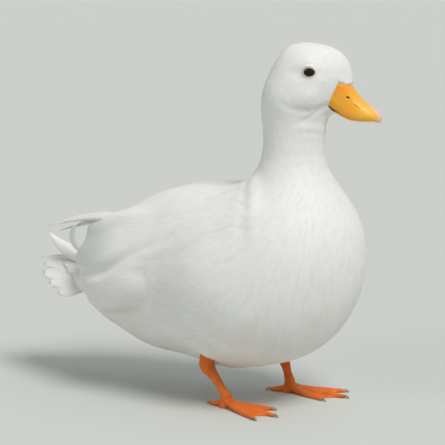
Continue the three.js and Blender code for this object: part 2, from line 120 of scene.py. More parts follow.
def to_frame(vector):
    """A direction in the bill's own (along, left, up), as a direction in the frame."""
    c, s = cos(BILL_PITCH), sin(BILL_PITCH)
    along, left, up = vector
    return HEAD_AHEAD * (along * c + up * s) + HEAD_LEFT * left + UP * (up * c - along * s)


BILL_WAYS = np.stack([to_frame(way) for way in ((1, 0, 0), (0, 1, 0), (0, 0, 1))])


# ---------- Small tools ----------

def stops(*pairs):
    """A value that runs straight from each stop to the next."""
    at, values = zip(*pairs)
    return lambda x: np.interp(x, at, values)


def curve_through(points, count):
    """Evenly stepped places along a smooth curve through these points."""
    points = np.array(points, float)
    before = 2 * points[0] - points[1]
    after = 2 * points[-1] - points[-2]
    held = np.concatenate([[before], points, [after]])
    t = np.linspace(0, len(points) - 1, count)
    i = np.minimum(t.astype(int), len(points) - 2)
    f = (t - i)[:, None]
    a, b, c, d = (held[i + k] for k in range(4))
    bent, sharp = 2 * a - 5 * b + 4 * c - d, 3 * b - a - 3 * c + d
    return 0.5 * (2 * b + (c - a) * f + bent * f ** 2 + sharp * f ** 3)


def smooth(low, high, value):
    """0 at low and 1 at high, easing in and out between them."""
    t = np.clip((value - low) / (high - low), 0, 1)
    return t * t * (3 - 2 * t)


def bump_at(distance, radius):
    """1 in the middle, easing to 0 at the radius."""
    return 1 - smooth(0, radius, distance)


def unit(vectors):
    length = np.linalg.norm(vectors, axis=-1, keepdims=True)
    return vectors / np.maximum(length, 1e-12)


def flattened(vectors, normals):
    """Vectors laid into the surface whose normals these are."""
    along = np.sum(vectors * normals, axis=-1, keepdims=True)
    return unit(vectors - normals * along)


# ---------- Camera, lights and floor ----------

CAMERA_TURN = radians(30)
CAMERA_LIFT = radians(10.5)
CAMERA_AWAY = 1.8
CAMERA_LENS = 203.9
LOOKED_AT = Vector((16.9, 5.4, 125.8)) * MM
LAMPS = (  # name, turn, lift and width across in degrees, strength and colour
    ("key", 64, 52, 26, 2.12, (1.0, 0.985, 0.96)),
    ("fill", -45, 35, 70, 0.04, (0.95, 0.98, 1.0)),
    ("top", 150, 74, 60, 0.5, (1, 1, 1)),
    ("glint", -33, 20, 13, 0.4, (1, 1, 1)),
)
SKY_COLOR = (0.93, 0.97, 1.0)
SKY_STRENGTH = 0.22
FLOOR_COLOR = (0.62, 0.64, 0.61)
FLOOR_HALF = 8.0


def outwards(turn, lift):
    """The way to a place `turn` round from -Y towards +X and `lift` up."""
    return Vector((sin(turn) * cos(lift), -cos(turn) * cos(lift), sin(lift)))


def object_of(name, data):
    made = bpy.data.objects.new(name, data)
    bpy.context.scene.collection.objects.link(made)
    return made


def mesh_of(name, form):
    """A mesh made from a bmesh, which is let go."""
    data = bpy.data.meshes.new(name)
    form.to_mesh(data)
    form.free()
    return data


def add_camera():
    data = bpy.data.cameras.new("camera")
    data.lens = CAMERA_LENS
    data.sensor_width = 36
    data.clip_end = 50
    camera = object_of("camera", data)
    back = outwards(CAMERA_TURN, CAMERA_LIFT)
    camera.location = LOOKED_AT + back * CAMERA_AWAY
    camera.rotation_euler = back.to_track_quat("Z", "Y").to_euler()
    bpy.context.scene.camera = camera


def add_lamp(name, turn, lift, spread, strength, color):
    """A broad, distant softbox."""
    data = bpy.data.lights.new(name, "SUN")
    data.angle = radians(spread)
    data.energy = strength
    data.color = color
    back = outwards(radians(turn), radians(lift))
    object_of(name, data).rotation_euler = back.to_track_quat("Z", "Y").to_euler()


def add_world():
    """A dim, even sky on the bird, where the camera, gloss and glass see the floor's colour."""
    world = bpy.data.worlds.new("studio")
    bpy.context.scene.world = world
    world.use_nodes = True
    nodes, links = world.node_tree.nodes, world.node_tree.links
    nodes.clear()

    def background(color, strength):
        made = nodes.new("ShaderNodeBackground")
        made.inputs["Color"].default_value = (*color, 1)
        made.inputs["Strength"].default_value = strength
        return made.outputs[0]

    def either(first, second):
        made = nodes.new("ShaderNodeMath")
        made.operation = "MAXIMUM"
        links.new(first, made.inputs[0])
        links.new(second, made.inputs[1])
        return made.outputs[0]

    ray = nodes.new("ShaderNodeLightPath").outputs
    seen = either(either(ray["Is Camera Ray"], ray["Is Glossy Ray"]), ray["Is Transmission Ray"])
    mix = nodes.new("ShaderNodeMixShader")
    sky, backdrop = background(SKY_COLOR, SKY_STRENGTH), background(FLOOR_COLOR, 1.0)
    for source, socket in zip((seen, sky, backdrop), mix.inputs):
        links.new(source, socket)
    out = nodes.new("ShaderNodeOutputWorld")
    links.new(mix.outputs[0], out.inputs["Surface"])


def add_floor():
    form = bmesh.new()
    bmesh.ops.create_grid(form, x_segments=2, y_segments=2, size=FLOOR_HALF)
    data = mesh_of("floor", form)
    data.materials.append(Finish("floor_paint", FLOOR_COLOR, 0.85).material)
    floor = object_of("floor", data)


# ---------- Materials ----------

MIX_FIRST, MIX_SECOND, MIX_RESULT = 6, 7, 2  # a Mix node's sockets for colours


class Finish:
    """A Principled material, with short ways to add the nodes of its patterns."""

    def __init__(self, name, color, roughness, **sockets):
        self.material = bpy.data.materials.new(name)
        self.material.use_nodes = True
        self.tree = self.material.node_tree
        self.shader = self.tree.nodes["Principled BSDF"]
        self.shader.inputs["Base Color"].default_value = (*color, 1)
        self.shader.inputs["Roughness"].default_value = roughness
        for socket, value in sockets.items():
            self.shader.inputs[socket.replace("_", " ")].default_value = value

    def feed(self, socket, value):
        """Links a socket to an output, or gives it a plain value."""
        if isinstance(value, bpy.types.NodeSocket):
            self.tree.links.new(value, socket)
        else:
            socket.default_value = value

    def node(self, kind, **inputs):
        made = self.tree.nodes.new(kind)
        for key, value in inputs.items():
            self.feed(made.inputs[key.replace("_", " ")], value)
        return made

    def worked(self, kind, operation, values):
        """A math node of this kind on these values."""
        made = self.tree.nodes.new(kind)
        made.operation = operation
        for socket, value in zip(made.inputs, values):
            self.feed(socket, value)
        return made

    def math(self, operation, *values):
        return self.worked("ShaderNodeMath", operation, values).outputs[0]

    def times(self, first, *others):
        for other in others:
            first = self.math("MULTIPLY", first, other)
        return first

    def vector_math(self, operation, *values):
        """The vector and the plain value that come of it."""
        return self.worked("ShaderNodeVectorMath", operation, values).outputs

    def place(self, at=(0, 0, 0), scale=(1, 1, 1)):
        """Object coordinates, moved so that `at` is their origin, and then scaled."""
        coordinates = self.tree.nodes.new("ShaderNodeTexCoord").outputs["Object"]
        moved = self.vector_math("SUBTRACT", coordinates, at)["Vector"]
        return self.node("ShaderNodeMapping", Vector=moved, Scale=scale).outputs[0]

    def noise(self, size, where=None, detail=3.0):
        where = where or self.place()
        made = self.node("ShaderNodeTexNoise", Vector=where, Scale=1 / size, Detail=detail)
        return made.outputs["Fac"]

    def ranged(self, value, from_low, from_high, to_low=0.0, to_high=1.0):
        made = self.tree.nodes.new("ShaderNodeMapRange")
        made.interpolation_type = "SMOOTHSTEP"
        ends = {"From Min": from_low, "From Max": from_high, "To Min": to_low, "To Max": to_high}
        for name, given in {"Value": value, **ends}.items():
            self.feed(made.inputs[name], given)
        return made.outputs["Result"]

    def axes(self, where):
        """A place's values along X, Y and Z."""
        return self.node("ShaderNodeSeparateXYZ", Vector=where).outputs

    def along(self, at, axis):
        """How far along an axis from a place."""
        return self.vector_math("DOT_PRODUCT", self.place(tuple(at)), tuple(axis))["Value"]

    def marked(self, name):
        """The piece's own value of this name at each point."""
        made = self.tree.nodes.new("ShaderNodeAttribute")
        made.attribute_name = name
        return made.outputs["Fac"]

    def tint(self, color, amount):
        """Mixes another colour over what the material has so far."""
        base = self.shader.inputs["Base Color"]
        mix = self.tree.nodes.new("ShaderNodeMix")
        mix.data_type = "RGBA"
        self.feed(mix.inputs["Factor"], amount)
        before = base.links[0].from_socket if base.is_linked else tuple(base.default_value)
        self.feed(mix.inputs[MIX_FIRST], before)
        mix.inputs[MIX_SECOND].default_value = (*color, 1)
        self.tree.links.new(mix.outputs[MIX_RESULT], base)

    def bump(self, height, depth):
        made = self.node("ShaderNodeBump", Height=height, Distance=depth)
        before = self.shader.inputs["Normal"]
        if before.is_linked:
            self.tree.links.new(before.links[0].from_socket, made.inputs["Normal"])
        self.tree.links.new(made.outputs[0], self.shader.inputs["Normal"])

    def roughen(self, value):
        self.tree.links.new(value, self.shader.inputs["Roughness"])


FEATHER_WHITE = (0.86, 0.86, 0.845)
# a warm cream: the plumage's own faint warmth, and painted shade low on the body
FEATHER_CREAM_AND_SHADE = (0.80, 0.755, 0.64)
FEATHER_GREY = (0.70, 0.72, 0.72)
# grey of the painted shade at the wings' rear ends
PAINTED_WING_SHADE = (0.52, 0.56, 0.53)
CREAM_SHADE_FROM, CREAM_SHADE_FULL = 105 * MM, 40 * MM  # the plumage turns creamier and darker down through these levels: its own cream with painted shade
# middle and half sizes of the patch of painted shade at the wings' rear ends
WING_END = Vector((-72, 31, 107)) * MM
WING_END_HALF = Vector((36, 26, 22)) * MM
BAKE_MAP = "OFBake"  # where each feather takes its place on the skin's flat map
BARB_MAP = "barbs"  # along and across each feather, in mm


def plumage_finish():
    """White feather, creamier and darker under breast and belly, from its own cream with painted shade
    there, and different from vane to vane.
    """
    made = Finish("feather_white", FEATHER_WHITE, 0.7)
    # painted shade over the plumage's own cream: creamier and darker towards the bottom, in patches
    low = made.ranged(made.axes(made.place())["Z"], CREAM_SHADE_FROM, CREAM_SHADE_FULL)
    patches = made.ranged(made.noise(22 * MM), 0.35, 0.7)
    made.tint(FEATHER_CREAM_AND_SHADE, made.times(low, patches, 0.6))
    # painted shade at the wings' rear ends
    paint_wing_end_shade(made)
    lines = made.node("ShaderNodeUVMap")
    lines.uv_map = BARB_MAP

    def barbs(scale, detail):
        where = made.node("ShaderNodeMapping", Vector=lines.outputs[0], Scale=scale).outputs[0]
        return made.noise(1.0, where, detail)

    for scale in ((0.013, 0.013, 1), (0.05, 0.5, 1)):  # from vane to vane, and along the barbs
        made.tint(FEATHER_GREY, made.ranged(barbs(scale, 2.0), 0.42, 0.68, 0.0, 0.3))
    fine = barbs((0.8, 0.25, 1), 3.0)
    made.bump(fine, 0.12 * MM)
    made.tint(FEATHER_GREY, made.ranged(fine, 0.52, 0.8, 0.0, 0.35))
    return made.material


def paint_wing_end_shade(made):
    """Painted shade: a grey patch at the wings' rear ends, which turn away from the light."""
    x, y, z = made.axes(made.place())
    mirrored = made.node("ShaderNodeCombineXYZ", X=x, Y=made.math("ABSOLUTE", y), Z=z).outputs[0]
    away = made.vector_math("SUBTRACT", mirrored, WING_END)["Vector"]
    scale = tuple(1 / half for half in WING_END_HALF)
    round_end = made.node("ShaderNodeMapping", Vector=away, Scale=scale).outputs[0]
    reach = made.vector_math("LENGTH", round_end)["Value"]
    made.tint(PAINTED_WING_SHADE, made.ranged(reach, 1.1, 0.3, 0.0, 0.58))


def skin_finish():
    """Down close over the skin: white, with a faint warmth."""
    made = Finish("skin_white", FEATHER_WHITE, 0.75)
    made.tint(FEATHER_CREAM_AND_SHADE, made.ranged(made.noise(15 * MM), 0.4, 0.7, 0, 0.3))
    # painted shade at the wings' rear ends
    paint_wing_end_shade(made)
    made.bump(made.noise(0.9 * MM, made.place(scale=(0.25, 1, 1)), detail=2), 0.2 * MM)
    return made.material


# ---------- Meshes ----------

WELD = 0.01 * MM


def merged_copy(nodes, grow=0.0):
    """These solids' merged surfaces in one bmesh, pushed out so that touching ones join."""
    form = bmesh.new()
    for node in nodes:
        form.from_mesh(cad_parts[node].data)
    bmesh.ops.remove_doubles(form, verts=form.verts, dist=WELD)
    form.normal_update()
    moves = [(v, v.normal * grow) for v in form.verts]
    for v, move in moves:
        v.co += move
    return form


def remeshed(form, voxel):
    """One closed skin round everything in the bmesh, as a triangle mesh."""
    raw = object_of("raw", mesh_of("raw", form))
    modifier = raw.modifiers.new("skin", "REMESH")
    modifier.mode = "VOXEL"
    modifier.voxel_size = voxel
    evaluated = raw.evaluated_get(bpy.context.evaluated_depsgraph_get())
    made = bpy.data.meshes.new_from_object(evaluated)
    bpy.data.objects.remove(raw)
    whole = bmesh.new()
    whole.from_mesh(made)
    bmesh.ops.triangulate(whole, faces=whole.faces)
    keep_largest(whole)
    whole.to_mesh(made)
    whole.free()
    return made


def keep_largest(form):
    """Drops every closed shell but the largest, such as a bubble left inside."""
    left = set(form.verts)
    shells = []
    while left:
        seed = left.pop()
        shell, edge_of_it = {seed}, [seed]
        while edge_of_it:
            for link in edge_of_it.pop().link_edges:
                for other in link.verts:
                    if other in left:
                        left.discard(other)
                        shell.add(other)
                        edge_of_it.append(other)
        shells.append(shell)
    shells.sort(key=len, reverse=True)
    for shell in shells[1:]:
        bmesh.ops.delete(form, geom=list(shell), context="VERTS")


def points_of(data):
    flat = np.empty(len(data.vertices) * 3, np.float32)
    data.vertices.foreach_get("co", flat)
    return flat.reshape(-1, 3).astype(float)


def triangles_of(data):
    flat = np.empty(len(data.loops), np.int32)
    data.loops.foreach_get("vertex_index", flat)
    return flat.reshape(-1, 3)


def set_points(data, points):
    data.vertices.foreach_set("co", points.astype(np.float32).ravel())
    data.update()


def normals_of(points, triangles):
    a, b, c = (points[triangles[:, i]] for i in range(3))
    faces = np.cross(b - a, c - a)
    total = np.zeros_like(points)
    for i in range(3):
        for axis in range(3):
            total[:, axis] += np.bincount(triangles[:, i], faces[:, axis], len(points))
    return unit(total)


class Surface:
    """A triangle mesh as arrays, that can be eased, moved and asked for its nearest point."""

    def __init__(self, points, triangles):
        self.points = points
        self.triangles = triangles
        pairs = np.concatenate([triangles[:, [0, 1]], triangles[:, [1, 2]], triangles[:, [2, 0]]])
        self.edges = np.unique(np.sort(pairs, axis=1), axis=0)
        self.count = np.bincount(self.edges.ravel(), minlength=len(points))

    def normals(self):
        return normals_of(self.points, self.triangles)

    def eased(self, values, rounds):
        """Values at the points, each drawn towards its neighbours' mean a few times over."""
        values = values.copy()
        flat = values.reshape(len(values), -1)
        a, b = self.edges.T
        for _ in range(rounds):
            total = np.stack([
                np.bincount(a, flat[b, k], len(flat)) + np.bincount(b, flat[a, k], len(flat))
                for k in range(flat.shape[1])
            ], axis=1)
            flat += (total / self.count[:, None] - flat) / 2
        return flat.reshape(values.shape)

    def ease_form(self, rounds):
        """Takes the facets out of the form and keeps its girth."""
        before = self.points
        self.points = self.eased(before, rounds)
        normals = self.normals()
        lost = np.sum((before - self.points) * normals, axis=1)
        self.points = self.points + normals * self.eased(lost, rounds)[:, None]

    def tree(self):
        return BVHTree.FromPolygons(self.points.tolist(), self.triangles.tolist())


def surface_of(data):
    return Surface(points_of(data), triangles_of(data))


# ---------- The plumage's outer form, and the skin under it ----------

FORM_VOXEL = 1.6 * MM
FORM_EASING = 26
JOIN = 0.35 * MM  # closes the thin cuts between the solids
CLOSING = 5.5 * MM  # radius of the ball that rolls over the body and fills its pockets
POCKET_SINK = 0.3 * MM  # how far the filling lies under the body round it
OPEN_FROM, OPEN_FULL = 118 * MM, 140 * MM  # the pockets stay open up through these levels
OPEN_SINK = 5 * MM
FILLERS = (  # soft parts between the solids, on both sides: their middles, radii and ways, in mm
    ((-36, 33, 84.5), (38, 16, 19.5), (0.93, 0.2, 0.31)),  # flank
    ((-47, 25, 125.2), (37, 9, 9.2), (-1, -0.1, -0.28)),  # back over the wing tip's root
)
THIGHS = ((31, -29.5, 47.5), (59.5, 32.5, 47.5))  # middles of the feathered upper legs, in mm
THIGH_RADII = (15.5, 12.5, 13.5)
UNTURNED = Matrix.Identity(4)


def add_ball(form, at, radii, turned=UNTURNED):
    """An oval ball, with its middle and radii in mm."""
    made = bmesh.ops.create_icosphere(form, subdivisions=4, radius=1.0)["verts"]
    size = Matrix.Diagonal((*(r * MM for r in radii), 1))
    place = Matrix.Translation(Vector(at) * MM)
    bmesh.ops.transform(form, verts=made, matrix=place @ turned @ size)


def add_fillers(form):
    for at, radii, way in FILLERS:
        for side in SIDES.values():
            mirrored = Vector((1, side, 1))
            turned = (Vector(way) * mirrored).to_track_quat("X", "Z").to_matrix().to_4x4()
            add_ball(form, Vector(at) * mirrored, radii, turned)


def with_pockets_filled(data):
    """The body's narrow pockets filled, as between the wing's edge and the flank."""
    surface = surface_of(data)
    surface.points = surface.eased(surface.points, 2)
    grown = bmesh.new()
    set_points(data, surface.points + surface.normals() * CLOSING)
    grown.from_mesh(data)
    filler_data = remeshed(grown, FORM_VOXEL)
    filler = surface_of(filler_data)
    opened = smooth(OPEN_FROM, OPEN_FULL, filler.points[:, 2])
    shrink = CLOSING + POCKET_SINK + OPEN_SINK * opened
    filler.points = filler.points - filler.normals() * shrink[:, None]
    set_points(filler_data, filler.points)
    set_points(data, surface.points)
    both = bmesh.new()
    both.from_mesh(data)
    both.from_mesh(filler_data)
    return remeshed(both, FORM_VOXEL)


def make_form():
    form = merged_copy((*FLESH, "eye_left", "eye_right", *BILL), JOIN)
    add_fillers(form)
    for at in THIGHS:
        add_ball(form, at, THIGH_RADII)
    data = with_pockets_filled(remeshed(form, FORM_VOXEL))
    surface = surface_of(data)
    surface.ease_form(FORM_EASING)
    surface.points = surface.points - surface.normals() * JOIN
    set_points(data, surface.points)
    for near in (lambda points: points[:, 2] > HEAD_LEVEL, near_face):
        refine(data, near(points_of(data)))
    surface = surface_of(data)
    surface.points = surface.eased(surface.points, 3)
    return data, surface


def refine(data, wanted):
    """Halves the triangles between the wanted points."""
    form = bmesh.new()
    form.from_mesh(data)
    form.verts.ensure_lookup_table()
    chosen = set(np.flatnonzero(wanted).tolist())
    edges = [e for e in form.edges if e.verts[0].index in chosen and e.verts[1].index in chosen]
    bmesh.ops.subdivide_edges(form, edges=edges, cuts=1, use_grid_fill=True)
    bmesh.ops.triangulate(form, faces=form.faces)
    form.to_mesh(data)
    form.free()


def near_face(points):
    """Whether a point lies round an eye or near the bill's feather line."""
    local = in_head(points)
    ahead, beside = local[:, 0], np.abs(local[:, 1])
    eye = np.linalg.norm(local[:, [0, 2]], axis=1) < 9 * MM
    line = np.abs(past_line(points)) < 4 * MM
    return (eye & (beside > 12 * MM)) | (line & (ahead > 4 * MM))


# ---------- Where the plumage ends at the bill and the eyes ----------

FEATHER_LINE = -0.6 * MM  # where the side feathers end, along the bill
CULMEN_REACH = 8.3 * MM  # how much further the forehead's feathers reach
CULMEN_HALF = 11.2 * MM
CHIN_REACH = 6 * MM
THROAT_REACH = 40 * MM
BROW_HEIGHT, BROW_ARCH, BROW_HALF = 6.4, 1.7, 7  # the forehead over the bill, in mm
bill_edge = stops((-9, -11), (-1, -13.2), (10, -15.6), (20, -14.8), (30, -10.6), (36.8, -8.8))


def past_line(points):
    """How far a point lies past the feather line, out on the bare bill."""
    along, left, up = in_bill(points).T
    top = smooth(2 * MM, 7 * MM, up)
    arc = np.clip(1 - (left / CULMEN_HALF) ** 2, 0, 1)
    chin = smooth(-13 * MM, -15 * MM, up)
    throat = smooth(-19.5 * MM, -22 * MM, up)
    ahead = along - FEATHER_LINE - CULMEN_REACH * arc * top
    ahead = ahead - CHIN_REACH * chin - THROAT_REACH * throat
    arch = np.clip(1 - (left / (BROW_HALF * MM)) ** 2, 0, 1)
    return np.minimum(ahead, (BROW_HEIGHT + BROW_ARCH * arch) * MM - up)


LID_MIDDLE = 0.5 * MM  # the eye opening's middle, ahead of the eyeball's
LID_HALF_LONG = 4.1 * MM
LID_HALF_HIGH = 3.1 * MM
LID_THICK = 0.42 * MM
OPENING_SINK = 1.5 * MM


def lid_reach(points):
    """0 in the middle of the nearer eye's opening and 1 at its rim."""
    local = in_head(points)
    ahead = (local[..., 0] - LID_MIDDLE) / LID_HALF_LONG
    up = local[..., 2] / LID_HALF_HIGH
    pinch = 1 + 0.3 * np.clip(ahead, 0, 1) ** 2.5
    return np.sqrt(ahead ** 2 + (up * pinch) ** 2)


def eye_side(points):
    """Vectors from the nearer eyeball's middle."""
    local = in_head(points)
    nearer = np.where(local[..., 1] > 0, EYE_OUT, -EYE_OUT)
    return local - np.stack([0 * nearer, nearer, 0 * nearer], axis=-1)


BODY_DEPTH, NECK_DEPTH, HEAD_DEPTH, RIM_DEPTH = 0.62, 0.5, 0.34, 0.2  # the coat's depths, in mm


def coat_depth(points):
    """How far the skin lies under the plumage."""
    head = smooth(198 * MM, 212 * MM, points[:, 2])
    neck = smooth(140 * MM, 175 * MM, points[:, 2])
    depth = BODY_DEPTH * MM + (NECK_DEPTH - BODY_DEPTH) * MM * neck
    depth = depth + (HEAD_DEPTH * MM - depth) * head
    by_bill = bump_at(np.abs(past_line(points)), 5 * MM) * head
    by_eye = bump_at(np.abs(np.linalg.norm(eye_side(points), axis=1) - EYE_RADIUS), 2 * MM)
    by_eye = by_eye * bump_at(lid_reach(points) - 1, 1.4)
    return depth + (RIM_DEPTH * MM - depth) * np.maximum(by_bill, by_eye)


# ---------- Folds and hollows that the solids leave out ----------

EYE_RELIEF = (  # middle ahead and up of the eye's, length to height, reach and rise, in mm
    ((-7.5, -1.0), 1.7, 7, -1.2),  # hollow behind the eye
    ((9, -1.5), 1.6, 5, -0.4),  # hollow before it
    ((1.0, 6.4), 2.0, 3.8, 0.7),  # brow
)
SWELLINGS = (  # middle, on both sides, reach and rise, in mm
    ((-70, 20, 62), 27, 5.0),  # under the tail
    ((-62, 33, 84), 20, 1.6),  # rear flank
    ((28, 6, 26), 36, 4.2),  # belly
)
NECK_ROLL = 7.5 * MM  # from one roll to the next
cheek_fold = stops(
    (-24, -19.5), (-19.5, -21.5), (-12, -25.5), (0.8, -27.1), (7, -25.8), (11.2, -23.7))
nape_fold = stops((90, 66), (126, 66), (148, 61.5), (160, 53), (172, 46))
fluff_top = stops((-90, 112), (-80, 106), (-54, 95), (-30, 79), (-13, 70), (4, 63.5), (24, 56))


def add_face(points, move):
    """Hollows and a brow round the eyes, and the forehead's step down to the bill."""
    from_eye = eye_side(points)
    near = (np.abs(from_eye[:, 1]) < 13 * MM) & (points[:, 2] > 200 * MM)
    for at, stretch, reach, rise in EYE_RELIEF:
        away = (from_eye[:, [0, 2]] - np.array(at) * MM) / [stretch, 1.0]
        move += rise * MM * near * bump_at(np.linalg.norm(away, axis=1), reach * MM)
    past = past_line(points)
    head = smooth(204 * MM, 210 * MM, points[:, 2])
    forehead = smooth(4 * MM, 8 * MM, in_bill(points)[:, 2])
    before, ended = smooth(-6 * MM, -1 * MM, past), smooth(-0.6 * MM, 0.6 * MM, past)
    move += 0.35 * MM * forehead * head * before * (1 - ended)


def add_neck_rolls(points, move):
    """Soft rolls across the front and sides of the neck."""
    x, z = points[:, 0], points[:, 2]
    around = unit(points[:, :2] - NECK_AXIS)
    front = smooth(-0.3, 0.6, around[:, 0])
    high = smooth(165 * MM, 180 * MM, z) * (1 - smooth(203 * MM, 212 * MM, z))
    wave = np.sin(z / NECK_ROLL * 2 * pi + 3 * around[:, 1] + 2.2 * np.sin(x / (9 * MM)))
    move += 0.3 * MM * wave * front * high


def add_cheek(points, move):
    """The cheek swells over a fold that runs back from the gape, with a second one below it."""
    local = in_head(points)
    ahead, left, up = (way / MM for way in local.T)
    beside = smooth(3 * MM, 7 * MM, np.abs(local[:, 1]))
    beside = beside * smooth(HEAD_LEVEL, 204 * MM, points[:, 2])
    move += 1.5 * MM * beside * bump_at(np.hypot((ahead + 1) / 1.3, up + 16.5), 10.5)
    below = up - cheek_fold(ahead)
    ends = (0.25 + 0.75 * smooth(-16, 2, ahead)) * smooth(-25, -16, ahead) * smooth(15, 11, ahead)
    move -= 1.6 * MM * beside * ends * bump_at(np.abs(below), 3.8)
    move -= 0.9 * MM * beside * smooth(-16, -4, ahead) * bump_at(np.abs(below + 6), 8)
    lower = (up + 26 - 0.6 * (ahead - 10.5)) / 1.17
    ends = smooth(-7, -1, ahead) * smooth(13, 9, ahead)
    move -= 0.9 * MM * beside * ends * bump_at(np.abs(lower), 2.6)
    chin = np.linalg.norm(np.stack([ahead - 9, left * 0.8, up + 29], axis=1), axis=1)
    move += 1.2 * MM * bump_at(chin, 6.5)


def add_flank(surface, normals, move):
    """Fills the valley under the wing's edge, and fluffs the flank's feathers out below it."""
    points = surface.points
    low_down = points[:, 2] < WING_LEVEL
    back, turn = wing_place(points)
    under = turn - wing_low(back)
    along = smooth(0.18, 0.4, back) * smooth(1.12, 1.0, back) * low_down
    valley = along * smooth(-16, -4, under) * smooth(44, 20, under)
    lost = np.sum((surface.eased(points, 160) - points) * normals, axis=1)
    move += valley * np.clip(1.4 * lost, 0, 5 * MM)
    past = turn - fluff_top(points[:, 0] / MM)
    behind = smooth(22 * MM, -32 * MM, points[:, 0]) * low_down
    move += 4.2 * MM * behind * smooth(-2.0, 3.2, past) * smooth(62, 22, past)
    move -= 3.2 * MM * behind * bump_at(np.abs(past + 5.5), 8)


def add_swellings(points, move):
    place = points.copy()
    place[:, 1] = np.abs(place[:, 1])
    for at, reach, rise in SWELLINGS:
        move += rise * MM * bump_at(np.linalg.norm(place / MM - at, axis=1), reach)


def add_nape(points, move):
    """The nape's fold with the ruffled feathers round it."""
    x, z = points[:, 0], points[:, 2]
    up = z / MM
    fold = (x - nape_fold(up) * MM) / MM
    high = smooth(92 * MM, 118 * MM, z) * smooth(172 * MM, 162 * MM, z)
    upper = smooth(120 * MM, 138 * MM, z)
    broken = 0.65 + 0.35 * np.sin(up / 11 + 1.3)
    move -= 0.9 * MM * high * (0.12 + 0.88 * upper) * broken * bump_at(np.abs(fold), 6)
    move += 0.8 * MM * high * upper * bump_at(np.abs(fold - 7), 9)
    ruffle = np.sin(up / 6.5 * 2 * pi + 0.9 * np.sin(np.abs(points[:, 1]) / (7 * MM)))
    scallops = ruffle * bump_at(np.abs(fold - 2), 8)
    scallops += 0.6 * np.sin(up / 5.5 * 2 * pi + 2) * bump_at(np.abs(fold + 9), 8)
    move += 0.4 * MM * upper * high * scallops


def shaped(surface):
    """Moves the form's points out and in to make the folds and hollows."""
    points, normals = surface.points, surface.normals()
    move = np.zeros(len(points))
    add_face(points, move)
    add_neck_rolls(points, move)
    add_cheek(points, move)
    add_flank(surface, normals, move)
    add_swellings(points, move)
    add_nape(points, move)
    surface.points = points + normals * surface.eased(move, 4)[:, None]
    around_eyes(surface)


def around_eyes(surface):
    """Lids that lie on the eyeballs, and an opening that clears them."""
    from_eye = eye_side(surface.points)
    reach = lid_reach(surface.points)
    away = np.linalg.norm(from_eye, axis=1)
    near = (away < 11 * MM) & (np.abs(in_head(surface.points)[:, 1]) > EYE_OUT * 0.7)
    lid = near * bump_at(reach - 1.0, 1.1)
    wanted = EYE_RADIUS + LID_THICK
    wanted = wanted - OPENING_SINK * (1 - smooth(0.92, 1.06, reach))
    step = unit(from_eye) * ((wanted - away) * lid)[:, None]
    surface.points = surface.points + step @ HEAD_WAYS


FACE_FROM = 5 * MM  # the face begins this far ahead of the middle between the eyes
BILL_COVER = 0.9 * MM  # how far the skin lies inside the bill
SKIN_RIM = 0.9 * MM  # the skin goes down into the bill within this of the feather line
BILL_SHRINK = (0.5, 0.25, 0.25)
BILL_SINK = (0, 0, 4.5 * MM)


def sunk_under_bill(points):
    """Skin points past the feather line, drawn inside the bill so that it hides them."""
    bill = merged_copy(BILL)
    tree = BVHTree.FromBMesh(bill)
    bill.free()
    past = past_line(points)
    in_face = (in_head(points)[:, 0] > FACE_FROM) & (points[:, 2] > THROAT_LEVEL)
    share = smooth(-SKIN_RIM * 0.4, SKIN_RIM, past)
    moved = points.copy()
    for i in np.flatnonzero((past > -SKIN_RIM) & in_face).tolist():
        place, normal, _, _ = tree.find_nearest(points[i].tolist())
        inside = np.array(place - normal * BILL_COVER)
        moved[i] += (inside - points[i]) * share[i]
    pull = smooth(0.8 * MM, 4 * MM, past) * in_face
    place = in_bill(moved)
    step = (place * BILL_SHRINK - BILL_SINK - place) * pull[:, None]
    return moved + step @ BILL_WAYS


def unwrapped(data):
    """Lays the skin out flat in the map that the coat takes its places from."""
    data.uv_layers.new(name=BAKE_MAP)
    skin = object_of("unwrap", data)
    bpy.context.view_layer.objects.active = skin
    skin.select_set(True)
    bpy.ops.object.mode_set(mode="EDIT")
    bpy.ops.mesh.select_all(action="SELECT")
    bpy.ops.uv.smart_project(angle_limit=radians(66), island_margin=0.002)
    bpy.ops.object.mode_set(mode="OBJECT")
    bpy.data.objects.remove(skin)
    flat = np.empty(len(data.loops) * 2, np.float32)
    data.uv_layers[BAKE_MAP].data.foreach_get("uv", flat)
    return flat.reshape(-1, 3, 2).astype(float)


# ---------- The lie of the coat ----------

def flow(points, normals):
    """Which way the feathers lie: back over the head, down the neck and back along the body."""
    x, y, z = points.T
    on_head = smooth(198 * MM, 222 * MM, z)[:, None]
    on_neck = smooth(150 * MM, 182 * MM, z)[:, None]
    behind = smooth(0, 26 * MM, -in_head(points)[:, 0])[:, None]
    head_lie = -HEAD_AHEAD * (1 - 0.6 * behind) - UP * (0.25 + 0.9 * behind)
    slope = radians(6) + radians(66) * smooth(10 * MM, 108 * MM, x)
    side = y * smooth(-20 * MM, -85 * MM, x) / (60 * MM)
    body_lie = np.stack([-np.cos(slope), -0.9 * side, -np.sin(slope)], axis=1)
    lie = body_lie + (-UP - body_lie) * on_neck
    lie = lie + (head_lie - lie) * on_head
    return flattened(lie, normals)


# ---------- Scattering roots over the form ----------

OVERDRAW = 2.2  # how many places are tried for each that is wanted
CLOSEST = 0.8  # share of the spacing that two roots always keep
CELLS_ROUND = [(dx, dy, dz) for dx in (-1, 0, 1) for dy in (-1, 0, 1) for dz in (-1, 0, 1)]


